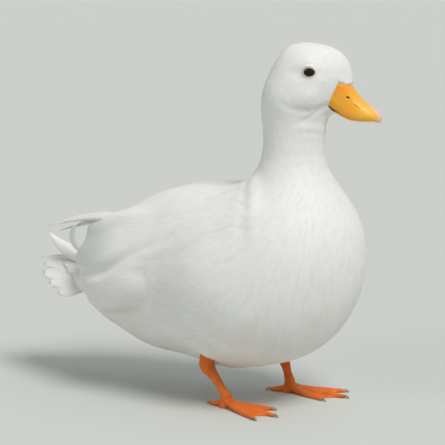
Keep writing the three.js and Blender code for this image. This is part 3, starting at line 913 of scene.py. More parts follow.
def scattered(surface, allowed, spacing, seed):
    """Evenly spread roots on the allowed triangles: their places, triangles and weights."""
    dice = np.random.default_rng(seed)
    a, b, c = (surface.points[surface.triangles[:, i]] for i in range(3))
    space = spacing((a + b + c) / 3)
    area = np.linalg.norm(np.cross(b - a, c - a), axis=1) / 2
    chance = area / space ** 2 * allowed
    count = int(chance.sum() * OVERDRAW)
    picked = dice.choice(len(chance), count, p=chance / chance.sum())
    u, v = dice.random(count), dice.random(count)
    over = u + v > 1
    u[over], v[over] = 1 - u[over], 1 - v[over]
    weights = np.stack([1 - u - v, u, v], axis=1)
    places = np.einsum("ij,ijk->ik", weights, surface.points[surface.triangles[picked]])
    keep = thinned(places, space[picked] * CLOSEST)
    return places[keep], picked[keep], weights[keep]


def crowded(here, others, limit):
    """Whether any of the others is nearer than the square root of the limit."""
    for other in others:
        x, y, z = (here - other).tolist()
        if x * x + y * y + z * z < limit:
            return True
    return False


def thinned(places, spaces):
    """Indices of places that keep their spacing from one another."""
    grid = {}
    keep = []
    cells = np.floor(places / spaces.max()).astype(int)
    for i, (x, y, z) in enumerate(cells.tolist()):
        here, limit = places[i], spaces[i] ** 2
        near = (grid.get((x + dx, y + dy, z + dz), ()) for dx, dy, dz in CELLS_ROUND)
        if not any(crowded(here, others, limit) for others in near):
            grid.setdefault((x, y, z), []).append(here)
            keep.append(i)
    return np.array(keep)


class Bed:
    """The skin that the feathers are rooted in, with the coat's flat map of it."""

    def __init__(self, skin, flat):
        self.skin = skin
        self.flat = flat
        self.tree = skin.tree()
        self.point_normals = skin.normals()

    def nearest(self, points):
        """The closest places on the skin and its smooth normals there."""
        places = np.empty_like(points)
        faces = np.empty(len(points), int)
        for i, point in enumerate(points.tolist()):
            places[i], _, faces[i], _ = self.tree.find_nearest(point)
        return places, self.normal_at(faces, places)

    def normal_at(self, faces, places):
        corners = self.point_normals[self.skin.triangles[faces]]
        return unit(np.einsum("ij,ijk->ik", self.weights_at(faces, places), corners))

    def weights_at(self, faces, places):
        a, b, c = (self.skin.points[self.skin.triangles[faces, i]] for i in range(3))
        area = np.maximum(np.linalg.norm(np.cross(b - a, c - a), axis=1), 1e-12)
        wa = np.linalg.norm(np.cross(b - places, c - places), axis=1) / area
        wb = np.linalg.norm(np.cross(c - places, a - places), axis=1) / area
        return np.stack([wa, wb, np.clip(1 - wa - wb, 0, 1)], axis=1)

    def struck(self, starts, ways):
        """Where rays from inside the body reach the skin: places, faces and weights."""
        hits = [self.tree.ray_cast(start, way) for start, way in zip(starts, ways)]
        places = np.array([place for place, _, _, _ in hits if place is not None])
        faces = np.array([face for _, _, face, _ in hits if face is not None])
        return places, faces, self.weights_at(faces, places)


# ---------- Feathers ----------

LOOSE_BEHIND = -88 * MM  # behind this, feathers may reach out past the skin
STRAYED = 0.4  # share of a step's length that parts a loose feather from the skin
BAKE_PATCH = 0.003  # width of a feather's patch on the coat's flat map
SOFTEN = 0.8  # how far a feather's shading leans to the skin's
CLEARANCE = 0.03 * MM
LEAST, MOST = (0.8, 0.85, 0.8), 1.15  # how far length, half width and lift vary, as shares
TILT = 0.03
BARB_SLANT = 2.6
BARB_SHIFT = 900  # the barbs' pattern starts anywhere within this


def vane_faces(count, across, stations):
    """Triangles of `count` thin closed vanes, each an upper and a lower grid joined at the rim."""
    def index(layer, row, column):
        return (layer * stations + row) * across + column

    quads = []
    for row in range(stations - 1):
        for column in range(across - 1):
            a, b = index(0, row, column), index(0, row, column + 1)
            c, d = index(0, row + 1, column + 1), index(0, row + 1, column)
            under = stations * across
            quads += [(d, c, b, a), (a + under, b + under, c + under, d + under)]
    rim = [(0, c) for c in range(across)]
    rim += [(r, across - 1) for r in range(1, stations)]
    rim += [(stations - 1, c) for c in range(across - 2, -1, -1)]
    rim += [(r, 0) for r in range(stations - 2, 0, -1)]
    for here, after in zip(rim, rim[1:] + rim[:1]):
        quads.append((index(0, *here), index(0, *after), index(1, *after), index(1, *here)))
    quads = np.array(quads)
    one = np.concatenate([quads[:, [0, 1, 2]], quads[:, [0, 2, 3]]])
    size = 2 * across * stations
    return (one[None] + size * np.arange(count)[:, None, None]).reshape(-1, 3)


class Cut:
    """The plan of a kind of feather: its grid, outline and rise from root to tip."""

    def __init__(self, across, along, widths, rise, rounding, fray, thick, rim, dome):
        self.across = np.linspace(-1, 1, across)
        self.along = np.array(along)
        self.widths = np.array(widths)
        self.rise = np.array(rise)
        self.rounding = rounding
        self.fray = fray
        self.thick = thick
        self.rim = rim
        self.dome = dome


CONTOUR = Cut(
    3,
    (0, 0.2, 0.42, 0.62, 0.8, 0.93, 1),
    (0.5, 0.85, 1, 0.92, 0.66, 0.34, 0.05),
    (0.1, 0.6, 0.92, 1, 0.85, 0.5, 0.12),
    rounding=0.03, fray=0.03, thick=0.08 * MM, rim=0.025 * MM, dome=0.78)
SMALL = Cut(
    3,
    (0, 0.3, 0.6, 0.85, 1),
    (0.6, 1, 0.95, 0.6, 0.08),
    (0.1, 0.7, 1, 0.7, 0.1),
    rounding=0.03, fray=0.02, thick=0.06 * MM, rim=0.02 * MM, dome=0.75)


def in_two_layers(upper, lower, count):
    """Each feather's upper values followed by its lower ones."""
    shape = (count, -1, upper.shape[-1])
    both = np.concatenate([upper.reshape(shape), lower.reshape(shape)], axis=1)
    return both.reshape(-1, upper.shape[-1])


def barb_lines(far, wide, across, start):
    """Each point's place in the barbs' pattern, from its distances down and out in mm."""
    down, out = far - BARB_SLANT * wide + start, wide * np.sign(across) + start
    return np.concatenate([down, out], axis=-1)


def walked(bed, place, normal, lie, length, cut, dice, bend):
    """Midlines laid over the skin, with their normals and ways, and where they hang loose."""
    count = len(place)
    bends = dice.normal(0, bend, count)[:, None]
    rows = [(place, normal, lie)]
    loose = np.zeros((count, len(cut.along)), bool)
    for k, step in enumerate(np.diff(cut.along), 1):
        ahead = place + lie * (length * step)[:, None]
        found, found_normal = bed.nearest(ahead)
        strayed = np.linalg.norm(found - ahead, axis=1) > STRAYED * length * step
        loose[:, k] = loose[:, k - 1] | (strayed & (ahead[:, 0] < LOOSE_BEHIND))
        held = loose[:, k, None]
        place = np.where(held, ahead, found)
        normal = np.where(held, normal, found_normal)
        dice.uniform(0, 6.28, count)  # passed over, so that all later draws stay as they are
        lie = flattened(lie + np.cross(normal, lie) * bends, normal)
        rows.append((place, normal, lie))
    spines, ups, ways = (np.stack(column, axis=1)[:, :, None] for column in zip(*rows))
    return spines, ups, ways, loose[:, :, None]


def lay_feathers(bed, roots, size, cut, dice, swing=7, bend=0.05, lie_of=flow):
    """Vanes laid over the skin. size(points) gives their length, half width and lift."""
    roots, faces, weights = roots  # places on the skin, and where they lie in its triangles
    count = len(roots)
    normals = bed.normal_at(faces, roots)
    length, half, lift = (
        value * dice.uniform(least, MOST, count) for value, least in zip(size(roots), LEAST))
    lie = lie_of(roots, normals)
    turn = dice.normal(0, radians(swing), count)[:, None]
    lie = unit(lie * np.cos(turn) + np.cross(normals, lie) * np.sin(turn))
    spines, ups, ways, loose = walked(bed, roots, normals, lie, length, cut, dice, bend)

    length, half, lift = (value[:, None, None, None] for value in (length, half, lift))
    along, across = cut.along[:, None, None], cut.across[:, None]
    widths = cut.widths[:, None, None] * half
    back = -cut.rounding * length * across ** 2 * along ** 2
    grid = spines + np.cross(ups, ways) * across * widths + ways * back
    rough = dice.normal(0, cut.fray, grid.shape[:3])[..., None] * half
    grid = grid + ways * rough * along ** 2 * 2

    flat = grid.reshape(-1, 3)
    places, tops = bed.nearest(flat)
    held = np.broadcast_to(loose, grid.shape[:3]).reshape(-1, 1)
    places = np.where(held, flat, places)
    tops = np.where(held, np.broadcast_to(ups, grid.shape).reshape(-1, 3), tops)
    tilt = dice.normal(0, TILT, count)[:, None, None, None] * lift * across
    height = lift * cut.rise[:, None, None] * (1 - cut.dome * across ** 2) + tilt + CLEARANCE
    upper = places + tops * height.reshape(-1, 1)
    thick = np.full((len(cut.along), len(cut.across)), cut.rim)
    thick[0] = thick[1:-1, 1:-1] = cut.thick
    lower = upper - tops * np.tile(thick.ravel(), count)[:, None]

    root_uv = np.einsum("ij,ijk->ik", weights, bed.flat[faces])
    patch = np.stack(np.meshgrid(cut.across / 2, cut.along - 0.5), axis=-1).reshape(-1, 2)
    uv = (root_uv[:, None] + np.tile(patch, (2, 1)) * BAKE_PATCH).reshape(-1, 2)
    start = dice.uniform(0, BARB_SHIFT, (count, 1, 1, 1))
    barbs = barb_lines(along * length / MM, np.abs(across) * widths / MM, across, start)
    triangles = vane_faces(count, len(cut.across), len(cut.along))
    maps = {BAKE_MAP: uv, BARB_MAP: in_two_layers(barbs, barbs, count)}
    return in_two_layers(upper, lower, count), triangles, maps, in_two_layers(tops, tops, count)


def vane_shading(points, triangles, tops):
    """Normals for each corner: the vanes' own, leaning to the skin's, and turned under beneath."""
    a, b, c = (points[triangles[:, i]] for i in range(3))
    faces = unit(np.cross(b - a, c - a))
    facing = np.sum(faces * tops[triangles[:, 0]], axis=1)
    upper = facing > 0.3
    own = normals_of(points, triangles[upper])
    softened = unit(own * (1 - SOFTEN) + tops * SOFTEN)
    corners = softened[triangles]
    corners[facing < -0.3] *= -1
    return corners.reshape(-1, 3)


def added(name, data, material):
    """A new piece of the bird, that rides on the body."""
    data.materials.append(material)
    made = object_of(name, data)
    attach(made, BODY)
    return made


def finished(name, data, material, slot, *nodes):
    """A smooth piece from a finished mesh, standing for the named nodes."""
    data.polygons.foreach_set("use_smooth", np.ones(len(data.polygons), bool))
    data.materials.clear()
    made = added(name, data, material)
    if nodes:
        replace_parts(made, *nodes)


def piece_of(name, mesh, material):
    """A smooth piece from points, triangles, maps and, for shading, the skin's normals or None."""
    points, triangles, maps, tops = mesh
    data = bpy.data.meshes.new(name)
    data.vertices.add(len(points))
    data.vertices.foreach_set("co", points.astype(np.float32).ravel())
    data.loops.add(triangles.size)
    data.loops.foreach_set("vertex_index", triangles.astype(np.int32).ravel())
    data.polygons.add(len(triangles))
    data.polygons.foreach_set("loop_start", np.arange(0, triangles.size, 3, dtype=np.int32))
    data.polygons.foreach_set("use_smooth", np.ones(len(triangles), bool))
    for map_name, uv in maps.items():
        layer = data.uv_layers.new(name=map_name)
        layer.data.foreach_set("uv", uv[triangles.ravel()].astype(np.float32).ravel())
    data.update(calc_edges=True)
    data.validate()
    if tops is not None:
        data.normals_split_custom_set(vane_shading(points, triangles, tops).tolist())
    return added(name, data, material)


def mark(data, name, values):
    """Gives the mesh's points values that a material can ask for by this name."""
    layer = data.attributes.new(name, "FLOAT", "POINT")
    layer.data.foreach_set("value", values.astype(np.float32))


# ---------- Long feathers that stand clear of the skin ----------

QUILL_COLUMNS = np.array([-1, -0.62, -0.1, 0, 0.1, 0.62, 1])
QUILL_STEPS = 19
QUILL_THICK = 0.22 * MM
QUILL_RUFFLE = 0.035  # unevenness of the edges, as a share of the half width
ROUND_END = stops(
    (0, 0.55), (0.2, 0.85), (0.55, 1), (0.8, 0.94), (0.92, 0.72), (0.98, 0.4), (1, 0.12))
OVAL_END = stops(
    (0, 0.6), (0.25, 0.92), (0.5, 1), (0.7, 0.92), (0.84, 0.7), (0.93, 0.42), (0.98, 0.2), (1, 0.05))
SPIKE_END = stops(
    (0, 0.8), (0.25, 1), (0.5, 0.9), (0.7, 0.62), (0.86, 0.32), (0.96, 0.12), (1, 0.03))
NARROW_END = stops((0, 0.75), (0.3, 1), (0.65, 0.74), (0.88, 0.38), (0.97, 0.18), (1, 0.05))


class Quill:
    """One long feather: its midline, half width, the way its vane spreads and its outline."""

    def __init__(self, line, half, side, outline, camber=0.12, rachis=0.32 * MM, turn=0.0):
        self.line = line
        self.half = half
        self.side = np.array(side, float)
        self.outline = outline
        self.camber = camber
        self.rachis = rachis
        self.turn = turn


def vane_of(quill, far, dice):
    """A quill's upper and lower points, and the lines of its barbs for both."""
    c = QUILL_COLUMNS[:, None]
    ways = unit(np.gradient(quill.line, axis=0))
    sides = flattened(np.broadcast_to(quill.side, ways.shape), ways)
    ups = np.cross(ways, sides)
    ups *= np.sign(ups[:, 2].sum() or 1)
    turned = sides * cos(quill.turn) + ups * sin(quill.turn)
    ups = ups * cos(quill.turn) - sides * sin(quill.turn)
    sides, ups, ways = turned[:, None], ups[:, None], ways[:, None]
    width = (quill.half * quill.outline(far))[:, None, None]
    ruffle = dice.normal(0, QUILL_RUFFLE, (len(far), len(c), 1)) * quill.half
    far = far[:, None, None]
    grid = quill.line[:, None] + sides * c * width
    grid = grid - ups * quill.camber * width * c ** 2
    grid = grid + ways * ruffle * np.abs(c)
    shaft = quill.rachis * (1 - 0.75 * far) * np.exp(-(c / 0.12) ** 2)
    half_thick = QUILL_THICK / 2 * (1 - 0.45 * np.abs(c)) * (1 - 0.4 * far)
    length = np.linalg.norm(np.diff(quill.line, axis=0), axis=1).sum() / MM
    start = dice.uniform(0, BARB_SHIFT)
    lines = barb_lines(far * length, np.abs(c) * width / MM, c, start)
    layers = [grid + ups * (shaft + half_thick), grid - ups * (0.6 * shaft + half_thick)]
    return layers, [lines, lines]


def places_in_map(i, cells, far):
    """Where a quill's two layers lie, in its own cell of the flat map."""
    row, column = divmod(i, cells)
    across = (column + 0.5 + 0.46 * QUILL_COLUMNS / 2) / cells
    u, v = np.meshgrid(across, (row + 0.04 + 0.92 * far) / cells)
    return [np.stack([u + shift / cells, v], axis=-1) for shift in (-0.12, 0.12)]


def add_quills(name, quills, material, seed):
    """Closed vanes with raised shafts, as one piece."""
    dice = np.random.default_rng(seed)
    far = np.linspace(0, 1, QUILL_STEPS)
    cells = int(np.ceil(np.sqrt(len(quills))))
    rows = [
        (*vane_of(quill, far, dice), places_in_map(i, cells, far)) for i, quill in enumerate(quills)]
    points, barbs, places = (
        np.concatenate([layer.reshape(-1, layer.shape[-1]) for pair in column for layer in pair])
        for column in zip(*rows))
    triangles = vane_faces(len(quills), len(QUILL_COLUMNS), QUILL_STEPS)
    mesh = points, triangles, {BAKE_MAP: places, BARB_MAP: barbs}, None
    return piece_of(name, mesh, material)


# ---------- Tail and wing tips ----------

TAIL_TURNS = (-1, -0.8, -0.58, -0.34, -0.08, 0.16, 0.4, 0.62, 0.82, 1)
TAIL_LEVEL = 86  # height of the tail's middle feathers; these and the lines below are in mm
TAIL_ROOT_HALF, TAIL_TIP_HALF = 14, 26
TAIL_COVERTS = 9
COVERT_LAYERS = (  # height, its change towards the edges, shortest end and its steps, camber
    (2.6, -1.2, 0.4, 0.08, 0.2),  # over the tail
    (-2.4, 1.0, 0.55, 0.06, -0.1),  # under it
)
SPIKE_LINE = ((-86.8, 5, 88), (-104.8, 8, 91), (-124.8, 8, 90.5))
BROAD_CURL_LINE = ((-86.8, -4, 93), (-101.8, -4, 93.5), (-114.8, -3, 98), (-127.8, -1, 106))
THIN_CURL_LINE = (
    (-77, -6.5, 95), (-87.5, -8.5, 97), (-97, -10, 100),
    (-101.3, -10, 106.5), (-100.2, -10, 113), (-96.2, -9, 117.5),
)
PRIMARY_LINE = ((-46, 25.5, 127.5), (-66, 24.5, 127.5), (-93.8, 18, 121.6), (-124.3, 7, 111.3))
PRIMARY_DROP = {"left": 6, "right": 0}
PRIMARY_SHORTER = (0, 0.07, 0.15, 0.4, 0.5)  # how much of its line each feather leaves out
tail_reach = stops((0, 43.2), (0.2, 42), (0.34, 36.5), (0.6, 31.5), (0.8, 23), (1, 11))


def tail_side(turn):
    """Which way the tail's sheet runs across at this turn: it droops towards both edges."""
    return unit(tail_line(turn + 0.05)[-1] - tail_line(turn - 0.05)[-1]) * [0.2, 1, 1]


def tail_line(turn, root=0.0, end=1.0):
    """A tail feather's midline, at `turn` from -1 on the right edge to 1 on the left."""
    out = abs(turn)
    base_level, tip_level = TAIL_LEVEL - 9 * out ** 2, TAIL_LEVEL - 18 * out ** 1.6
    base = np.array([TAIL_ROOT_X + 1.8 * MM, TAIL_ROOT_HALF * MM * turn, base_level * MM])
    tip = np.array([TAIL_ROOT_X - tail_reach(out) * MM, TAIL_TIP_HALF * MM * turn, tip_level * MM])
    far = np.linspace(root, end, QUILL_STEPS)[:, None]
    return base + (tip - base) * far + UP * 6 * MM * far * (1 - far)


def add_tail(material):
    fan = []
    for i, turn in enumerate(TAIL_TURNS):
        out = abs(turn)
        rise = UP * (1.2 - 1.6 * out) * MM
        line = tail_line(turn, -0.5, 1.0 - 0.015 * (i % 2) + 0.04 * out) + rise
        outline = SPIKE_END if out < 0.2 else OVAL_END if out < 0.5 else ROUND_END
        half = (5.2 + 4.6 * smooth(0.16, 0.5, out)) * MM
        steep = np.array([0, 0.62, -0.78 * np.sign(turn)])
        fan.append(Quill(line, half, tail_side(turn) if out > 0.2 else steep, outline))
    spike = curve_through(SPIKE_LINE, QUILL_STEPS) * MM
    fan.append(Quill(spike, 4.4 * MM, (0, 0.6, 0.8), SPIKE_END))
    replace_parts(add_quills("tail_feathers", fan, material, 31), "tail_fan")

    covers = []
    for i in range(TAIL_COVERTS):
        turn = -0.85 + 1.7 * i / (TAIL_COVERTS - 1)
        for up, inwards, end, step, camber in COVERT_LAYERS:
            rise = UP * (up + inwards * abs(turn)) * MM
            line = tail_line(turn, -0.75, end + step * (i % 3)) + rise
            covers.append(Quill(line, 6.6 * MM, tail_side(turn), ROUND_END, camber))
    add_quills("tail_coverts", covers, material, 32)

    broad = curve_through(BROAD_CURL_LINE, QUILL_STEPS) * MM
    curl = [Quill(broad, 6.6 * MM, (0, 1, 0.9), SPIKE_END)]
    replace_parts(add_quills("tail_curl_broad_vane", curl, material, 33), "tail_curl_broad")
    thin = curve_through(THIN_CURL_LINE, QUILL_STEPS) * MM
    curl = [Quill(thin, 2.8 * MM, (0, 1, 0), SPIKE_END, rachis=0.25 * MM, turn=radians(55))]
    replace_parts(add_quills("tail_curl_thin_vane", curl, material, 34), "tail_curl_thin")


def add_primaries(name, side, material):
    places = np.array(PRIMARY_LINE) * (1, side, 1) - (0, 0, PRIMARY_DROP[name])
    middle_line = curve_through(places, QUILL_STEPS * 3) * MM
    spread = unit(np.array([0.25, side, -0.45]))
    far = np.linspace(0, 1, QUILL_STEPS)[:, None]
    quills = []
    for k, shorter in enumerate(PRIMARY_SHORTER):
        last = round((1 - shorter) * (len(middle_line) - 1))
        line = middle_line[np.linspace(0, last, QUILL_STEPS).round().astype(int)]
        line = line + spread * (0.8 * k - 0.8) * MM * (1 - 0.55 * far) + UP * (0.9 - 0.35 * k) * MM
        line = line - UP * (1.6 * max(0, k - 2)) * (0.6 + far) * MM
        quills.append(Quill(line, 4.6 * MM, spread, NARROW_END, camber=0.05, rachis=0.35 * MM))
    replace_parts(add_quills(f"primary_feathers_{name}", quills, material, 40 + side), f"primaries_{name}")


# ---------- Folded wings ----------

ROW_RADIUS = 60  # the wing's girth round the spine, and its length, in mm
WING_LENGTH = 159
ROW_PACKING = 1.15
ROW_STEP = 0.27  # how far apart the rows are, as a share of the feathers' length
COVERTS_END = 0.93  # how far back along the wing the coverts are rooted
WING_SWING, WING_BEND = 3, 0.02
wing_top = stops((0, 30), (0.12, 12), (0.5, 8), (0.75, 24), (0.9, 44), (1, 70))
wing_low = stops((0, 42), (0.2, 56), (0.47, 71), (0.8, 92), (0.94, 110), (1, 92))
wing_length = stops((0, 13), (0.3, 19), (0.6, 27), (0.8, 30), (1, 22))
wing_half = stops((0, 4.2), (0.3, 5.2), (0.6, 6.4), (0.8, 7))
WING_CUT = Cut(
    7,
    (0, 0.18, 0.36, 0.52, 0.67, 0.8, 0.91, 1),
    (0.5, 0.8, 0.96, 1, 0.95, 0.8, 0.56, 0.22),
    (0.1, 0.45, 0.75, 0.94, 1, 0.92, 0.68, 0.3),
    rounding=0.06, fray=0.02, thick=0.12 * MM, rim=0.03 * MM, dome=0.55)


def wing_place(points):
    """How far back along the wing a point lies, and its turn in degrees from straight up."""
    back = (WING_FRONT_X - points[:, 0]) / (WING_FRONT_X - WING_REAR_X)
    turn = np.degrees(np.arctan2(np.abs(points[:, 1]), points[:, 2] - SPINE_Z))
    return back, turn


def on_wing(points, margin):
    """Whether a point lies on the folded wing, a margin in degrees in from its edges."""
    back, turn = wing_place(points)
    inside = (turn > wing_top(back) + margin) & (turn < wing_low(back) - margin)
    return inside & (back > 0.1) & (back < 1.02) & (points[:, 2] < 175 * MM)


def wing_roots(bed, side):
    """Roots in slanting rows from the shoulder to the wing's rear end."""
    starts, ways = [], []
    back, row = 0.05, 0
    while back < COVERTS_END:
        low, high = wing_top(back) - 2, wing_low(back) - 3
        count = max(3, round(radians(high - low) * ROW_RADIUS / (wing_half(back) * ROW_PACKING)))
        for i in range(count):
            turn = radians(low + (high - low) * (i + 0.5 * (row % 2)) / (count - 0.5))
            slant = 0.05 * (i / count - 0.5)
            x = WING_FRONT_X + (WING_REAR_X - WING_FRONT_X) * min(back + slant, 0.985)
            starts.append((x, 0, SPINE_Z))
            ways.append((0, side * sin(turn), cos(turn)))
        back += wing_length(back) * ROW_STEP / WING_LENGTH
        row += 1
    return bed.struck(starts, ways)


def wing_flow(points, normals):
    """Back along the wing, drooping more and more towards its rear end."""
    slope = radians(9) + radians(52) * smooth(-22 * MM, -86 * MM, points[:, 0])
    lie = np.stack([-np.cos(slope), 0 * slope, -np.sin(slope)], axis=1)
    return flattened(lie, normals)


def wing_size(points):
    back, _ = wing_place(points)
    return wing_length(back) * MM, wing_half(back) * MM, coat_depth(points) * 1.1


def add_wing(name, side, bed, material):
    dice = np.random.default_rng(60 + side)
    roots = wing_roots(bed, side)
    made = lay_feathers(bed, roots, wing_size, WING_CUT, dice, WING_SWING, WING_BEND, wing_flow)
    piece_of(f"wing_feathers_{name}", made, material)
    add_primaries(name, side, material)


# ---------- The bill ----------

BILL_VOXEL = 0.5 * MM
BILL_GROW = 0.3 * MM  # the solids are grown to join while they are remeshed, and drawn back after
JAW_GROW = 0.2 * MM
NOSTRIL = (9.9 * MM, -1.2 * MM)  # along and up the bill
NOSTRIL_RADII = (1.5 * MM, 0.72 * MM)
NAIL_AT = np.array([34.2, 0, -4.3]) * MM
NAIL_RADII = np.array([7.8, 4.8, 7.0]) * MM
LIP_HEIGHT = 2.1 * MM
BILL_ORANGE = (0.97, 0.43, 0.025)
BILL_LIGHT = (0.98, 0.54, 0.06)
# deeper orange: the bill's own colour towards its root, and painted shade along the lip's groove and under
# it
BILL_DEEP = (0.92, 0.245, 0.018)
BILL_NAIL = (0.90, 0.60, 0.42)
# near black: the scratch's own colour, painted shade in the nostrils and painted shadow at the gape
BILL_DARK = (0.035, 0.012, 0.006)
BILL_MARKS = (  # name, colour and its share
    # painted shade: deeper orange in the lip's groove and under it
    ("edge", BILL_DEEP, 0.4),
    ("fold", BILL_DEEP, 0.35),
    ("nail", BILL_NAIL, 0.85),
    # the nostril painted near black: painted shade inside the opening
    ("nostril", BILL_DARK, 1.0),
)
SCRATCH_AT = (15.4, 0, -3.6)  # a dark scratch on the right side, in mm from the bill's root
SCRATCH_ACROSS = (0.07, 0, 1)


def eased_skin(nodes, grow, voxel, rounds):
    """These solids as one mesh with its facets eased out, and its surface."""
    data = remeshed(merged_copy(nodes, grow), voxel)
    surface = surface_of(data)
    surface.ease_form(rounds)
    surface.points = surface.points - surface.normals() * grow
    return data, surface


def add_bill(orange):
    data, surface = eased_skin(("bill_upper", "bill_nail"), BILL_GROW, BILL_VOXEL, 16)
    points, normals = surface.points, surface.normals()
    place = in_bill(points)
    along, _, up = place.T
    edge = bill_edge(along / MM) * MM
    move = -1.1 * MM * smooth(0.4 * MM, -1.0 * MM, past_line(points))
    beside = np.abs(normals @ HEAD_LEFT) > 0.25
    slot = np.hypot((along - NOSTRIL[0]) / NOSTRIL_RADII[0], (up - NOSTRIL[1]) / NOSTRIL_RADII[1])
    move -= 0.85 * MM * beside * bump_at(slot - 0.35, 1.0)
    move += 0.16 * MM * beside * bump_at(np.abs(slot - 1.6), 0.8)
    lip = np.abs(up - edge - LIP_HEIGHT)
    ends = smooth(0, 5 * MM, along), smooth(35 * MM, 27 * MM, along)
    move -= 0.22 * MM * bump_at(lip, 0.8 * MM) * ends[0] * ends[1]
    nail = np.linalg.norm((place - NAIL_AT) / NAIL_RADII, axis=1)
    move -= 0.16 * MM * bump_at(np.abs(nail - 1.0), 0.14)
    set_points(data, points + normals * surface.eased(move, 1)[:, None])
    mark(data, "nail", smooth(1.5, 0.85, nail))
    # painted shade inside the nostril
    mark(data, "nostril", beside * smooth(1.1, 0.6, slot))
    # painted shade in the lip's groove and along the lower edge under it
    mark(data, "fold", bump_at(lip, 0.7 * MM) * smooth(-2 * MM, 4 * MM, along))
    mark(data, "edge", smooth(2.0 * MM, 0.4 * MM, up - edge))
    finished("bill_sheath", data, orange, "bill", "bill_upper", "bill_nail")


def add_lower_bill(orange):
    data, surface = eased_skin(("bill_lower",), JAW_GROW, BILL_VOXEL, 8)
    along, left, _ = in_bill(surface.points).T
    inner = smooth(0, 6 * MM, along)[:, None]
    raised = to_frame((0, 0, 0.6 * MM)) - np.outer(0.12 * left, HEAD_LEFT)
    set_points(data, surface.points + inner * raised)
    finished("bill_jaw", data, orange, "bill", "bill_lower")


def bill_finish():
    made = Finish("bill_orange", BILL_ORANGE, 0.42)
    root = from_head(BILL_AT)[0]
    along, left, up = (made.along(root, way) for way in BILL_WAYS)
    patches = made.ranged(made.noise(5 * MM, detail=4), 0.35, 0.7)
    uneven = made.math("ADD", made.times(patches, 0.4), 0.45)
    high = made.ranged(up, -6 * MM, 5 * MM)
    made.tint(BILL_DEEP, made.times(made.ranged(along, 12 * MM, 0.5 * MM), high, uneven))
    made.tint(BILL_LIGHT, made.times(made.ranged(along, 12 * MM, 28 * MM), 0.6))
    for name, color, most in BILL_MARKS:
        made.tint(color, made.times(made.marked(name), most))
    # painted shadow: near black at the gape, the bill's lower rear corner
    gape = made.ranged(along, 10 * MM, 3 * MM), made.ranged(up, -12.2 * MM, -14.0 * MM)
    made.tint(BILL_DARK, made.times(*gape, 0.9))
    scratch = root + to_frame(SCRATCH_AT) * MM
    across = made.math("ABSOLUTE", made.along(scratch, to_frame(SCRATCH_ACROSS)))
    ends = made.ranged(along, 15.2 * MM, 16.6 * MM), made.ranged(along, 22 * MM, 20.4 * MM)
    on_right = made.ranged(left, 0, -2 * MM)
    line = made.times(*ends, on_right, made.ranged(across, 0.42 * MM, 0.12 * MM))
    broken = made.ranged(made.noise(1.2 * MM), 0.3, 0.7, 0.15, 0.75)
    made.tint(BILL_DARK, made.times(line, broken))
    made.bump(made.noise(1.1 * MM, made.place(scale=(0.3, 1, 1)), detail=2), 0.08 * MM)
    made.roughen(made.ranged(made.noise(2.5 * MM), 0.3, 0.7, 0.34, 0.5))
    return made.material


# ---------- Eyes ----------

EYE_DARK = (0.004, 0.003, 0.003)
EYE_BROWN = (0.022, 0.009, 0.004)
LID_PALE = (0.78, 0.70, 0.50)
LID_BROWN = (0.50, 0.36, 0.24)
LID_STEPS = 64
LID_RINGS = (  # reach from the opening's middle, and distance from the eyeball's middle in mm
    (1.00, 5.6), (0.96, 6.0), (0.98, 6.13), (1.01, 6.22),
    (1.05, 6.24), (1.1, 6.16), (1.14, 5.85), (1.1, 5.4),
)


def eye_finish():
    made = Finish("eye_dark", EYE_DARK, 0.04, Specular_IOR_Level=0.27)
    fibres = made.ranged(made.noise(0.5 * MM, detail=2), 0.35, 0.7)
    uneven = made.math("ADD", made.times(fibres, 0.5), 0.5)
    made.tint(EYE_BROWN, made.times(made.marked("iris"), uneven))
    return made.material


def lid_finish():
    made = Finish("eyelid_skin", LID_PALE, 0.55)
    made.tint(LID_BROWN, made.ranged(made.noise(0.8 * MM), 0.4, 0.75, 0, 0.5))
    made.bump(made.noise(0.35 * MM, detail=2), 0.05 * MM)
    return made.material


def add_eye(name, side, material):
    centre = EYE[name]
    form = bmesh.new()
    bmesh.ops.create_uvsphere(form, u_segments=48, v_segments=32, radius=EYE_RADIUS)
    out = Vector(HEAD_LEFT * side)
    form.transform(out.to_track_quat("Z", "Y").to_matrix().to_4x4())
    bmesh.ops.translate(form, verts=form.verts, vec=Vector(centre))
    data = mesh_of(f"eyeball_{name}", form)
    away = points_of(data) - centre
    beside = np.linalg.norm(away - np.outer(away @ HEAD_LEFT, HEAD_LEFT), axis=1)
    mark(data, "iris", smooth(1.7 * MM, 2.0 * MM, beside) * smooth(4.6 * MM, 3.6 * MM, beside))
    finished(f"eyeball_{name}", data, material, "eye", f"eye_{name}")


def add_lid(name, side, material):
    """A soft rim round the opening, closed behind."""
    turns = np.linspace(0, 2 * pi, LID_STEPS, endpoint=False)
    form = bmesh.new()
    rings = []
    for reach, away in LID_RINGS:
        made = bmesh.ops.create_circle(form, segments=LID_STEPS, radius=1.0)["verts"]
        ahead = LID_MIDDLE + LID_HALF_LONG * np.cos(turns) * reach
        pinch = 1 + 0.4 * smooth(0, 1, np.cos(turns))
        up = LID_HALF_HIGH * np.sign(np.sin(turns)) * np.abs(np.sin(turns)) ** pinch * reach
        left_over = (away * MM) ** 2 - ahead ** 2 - up ** 2
        deep = np.sqrt(np.maximum(left_over, (1.5 * MM) ** 2))
        local = np.stack([ahead, side * (EYE_OUT + deep), up], axis=1)
        for vert, place in zip(made, from_head(local)):
            vert.co = place
        rings.append(made)
    for here, after in zip(rings, rings[1:] + rings[:1]):
        for i in range(LID_STEPS):
            j = (i + 1) % LID_STEPS
            form.faces.new((here[i], here[j], after[j], after[i]))
    bmesh.ops.recalc_face_normals(form, faces=form.faces)
    finished(f"eyelid_{name}", mesh_of(f"eyelid_{name}", form), material, "eye")


# ---------- Legs, feet and claws ----------

LEG_ORANGE = (0.86, 0.20, 0.022)
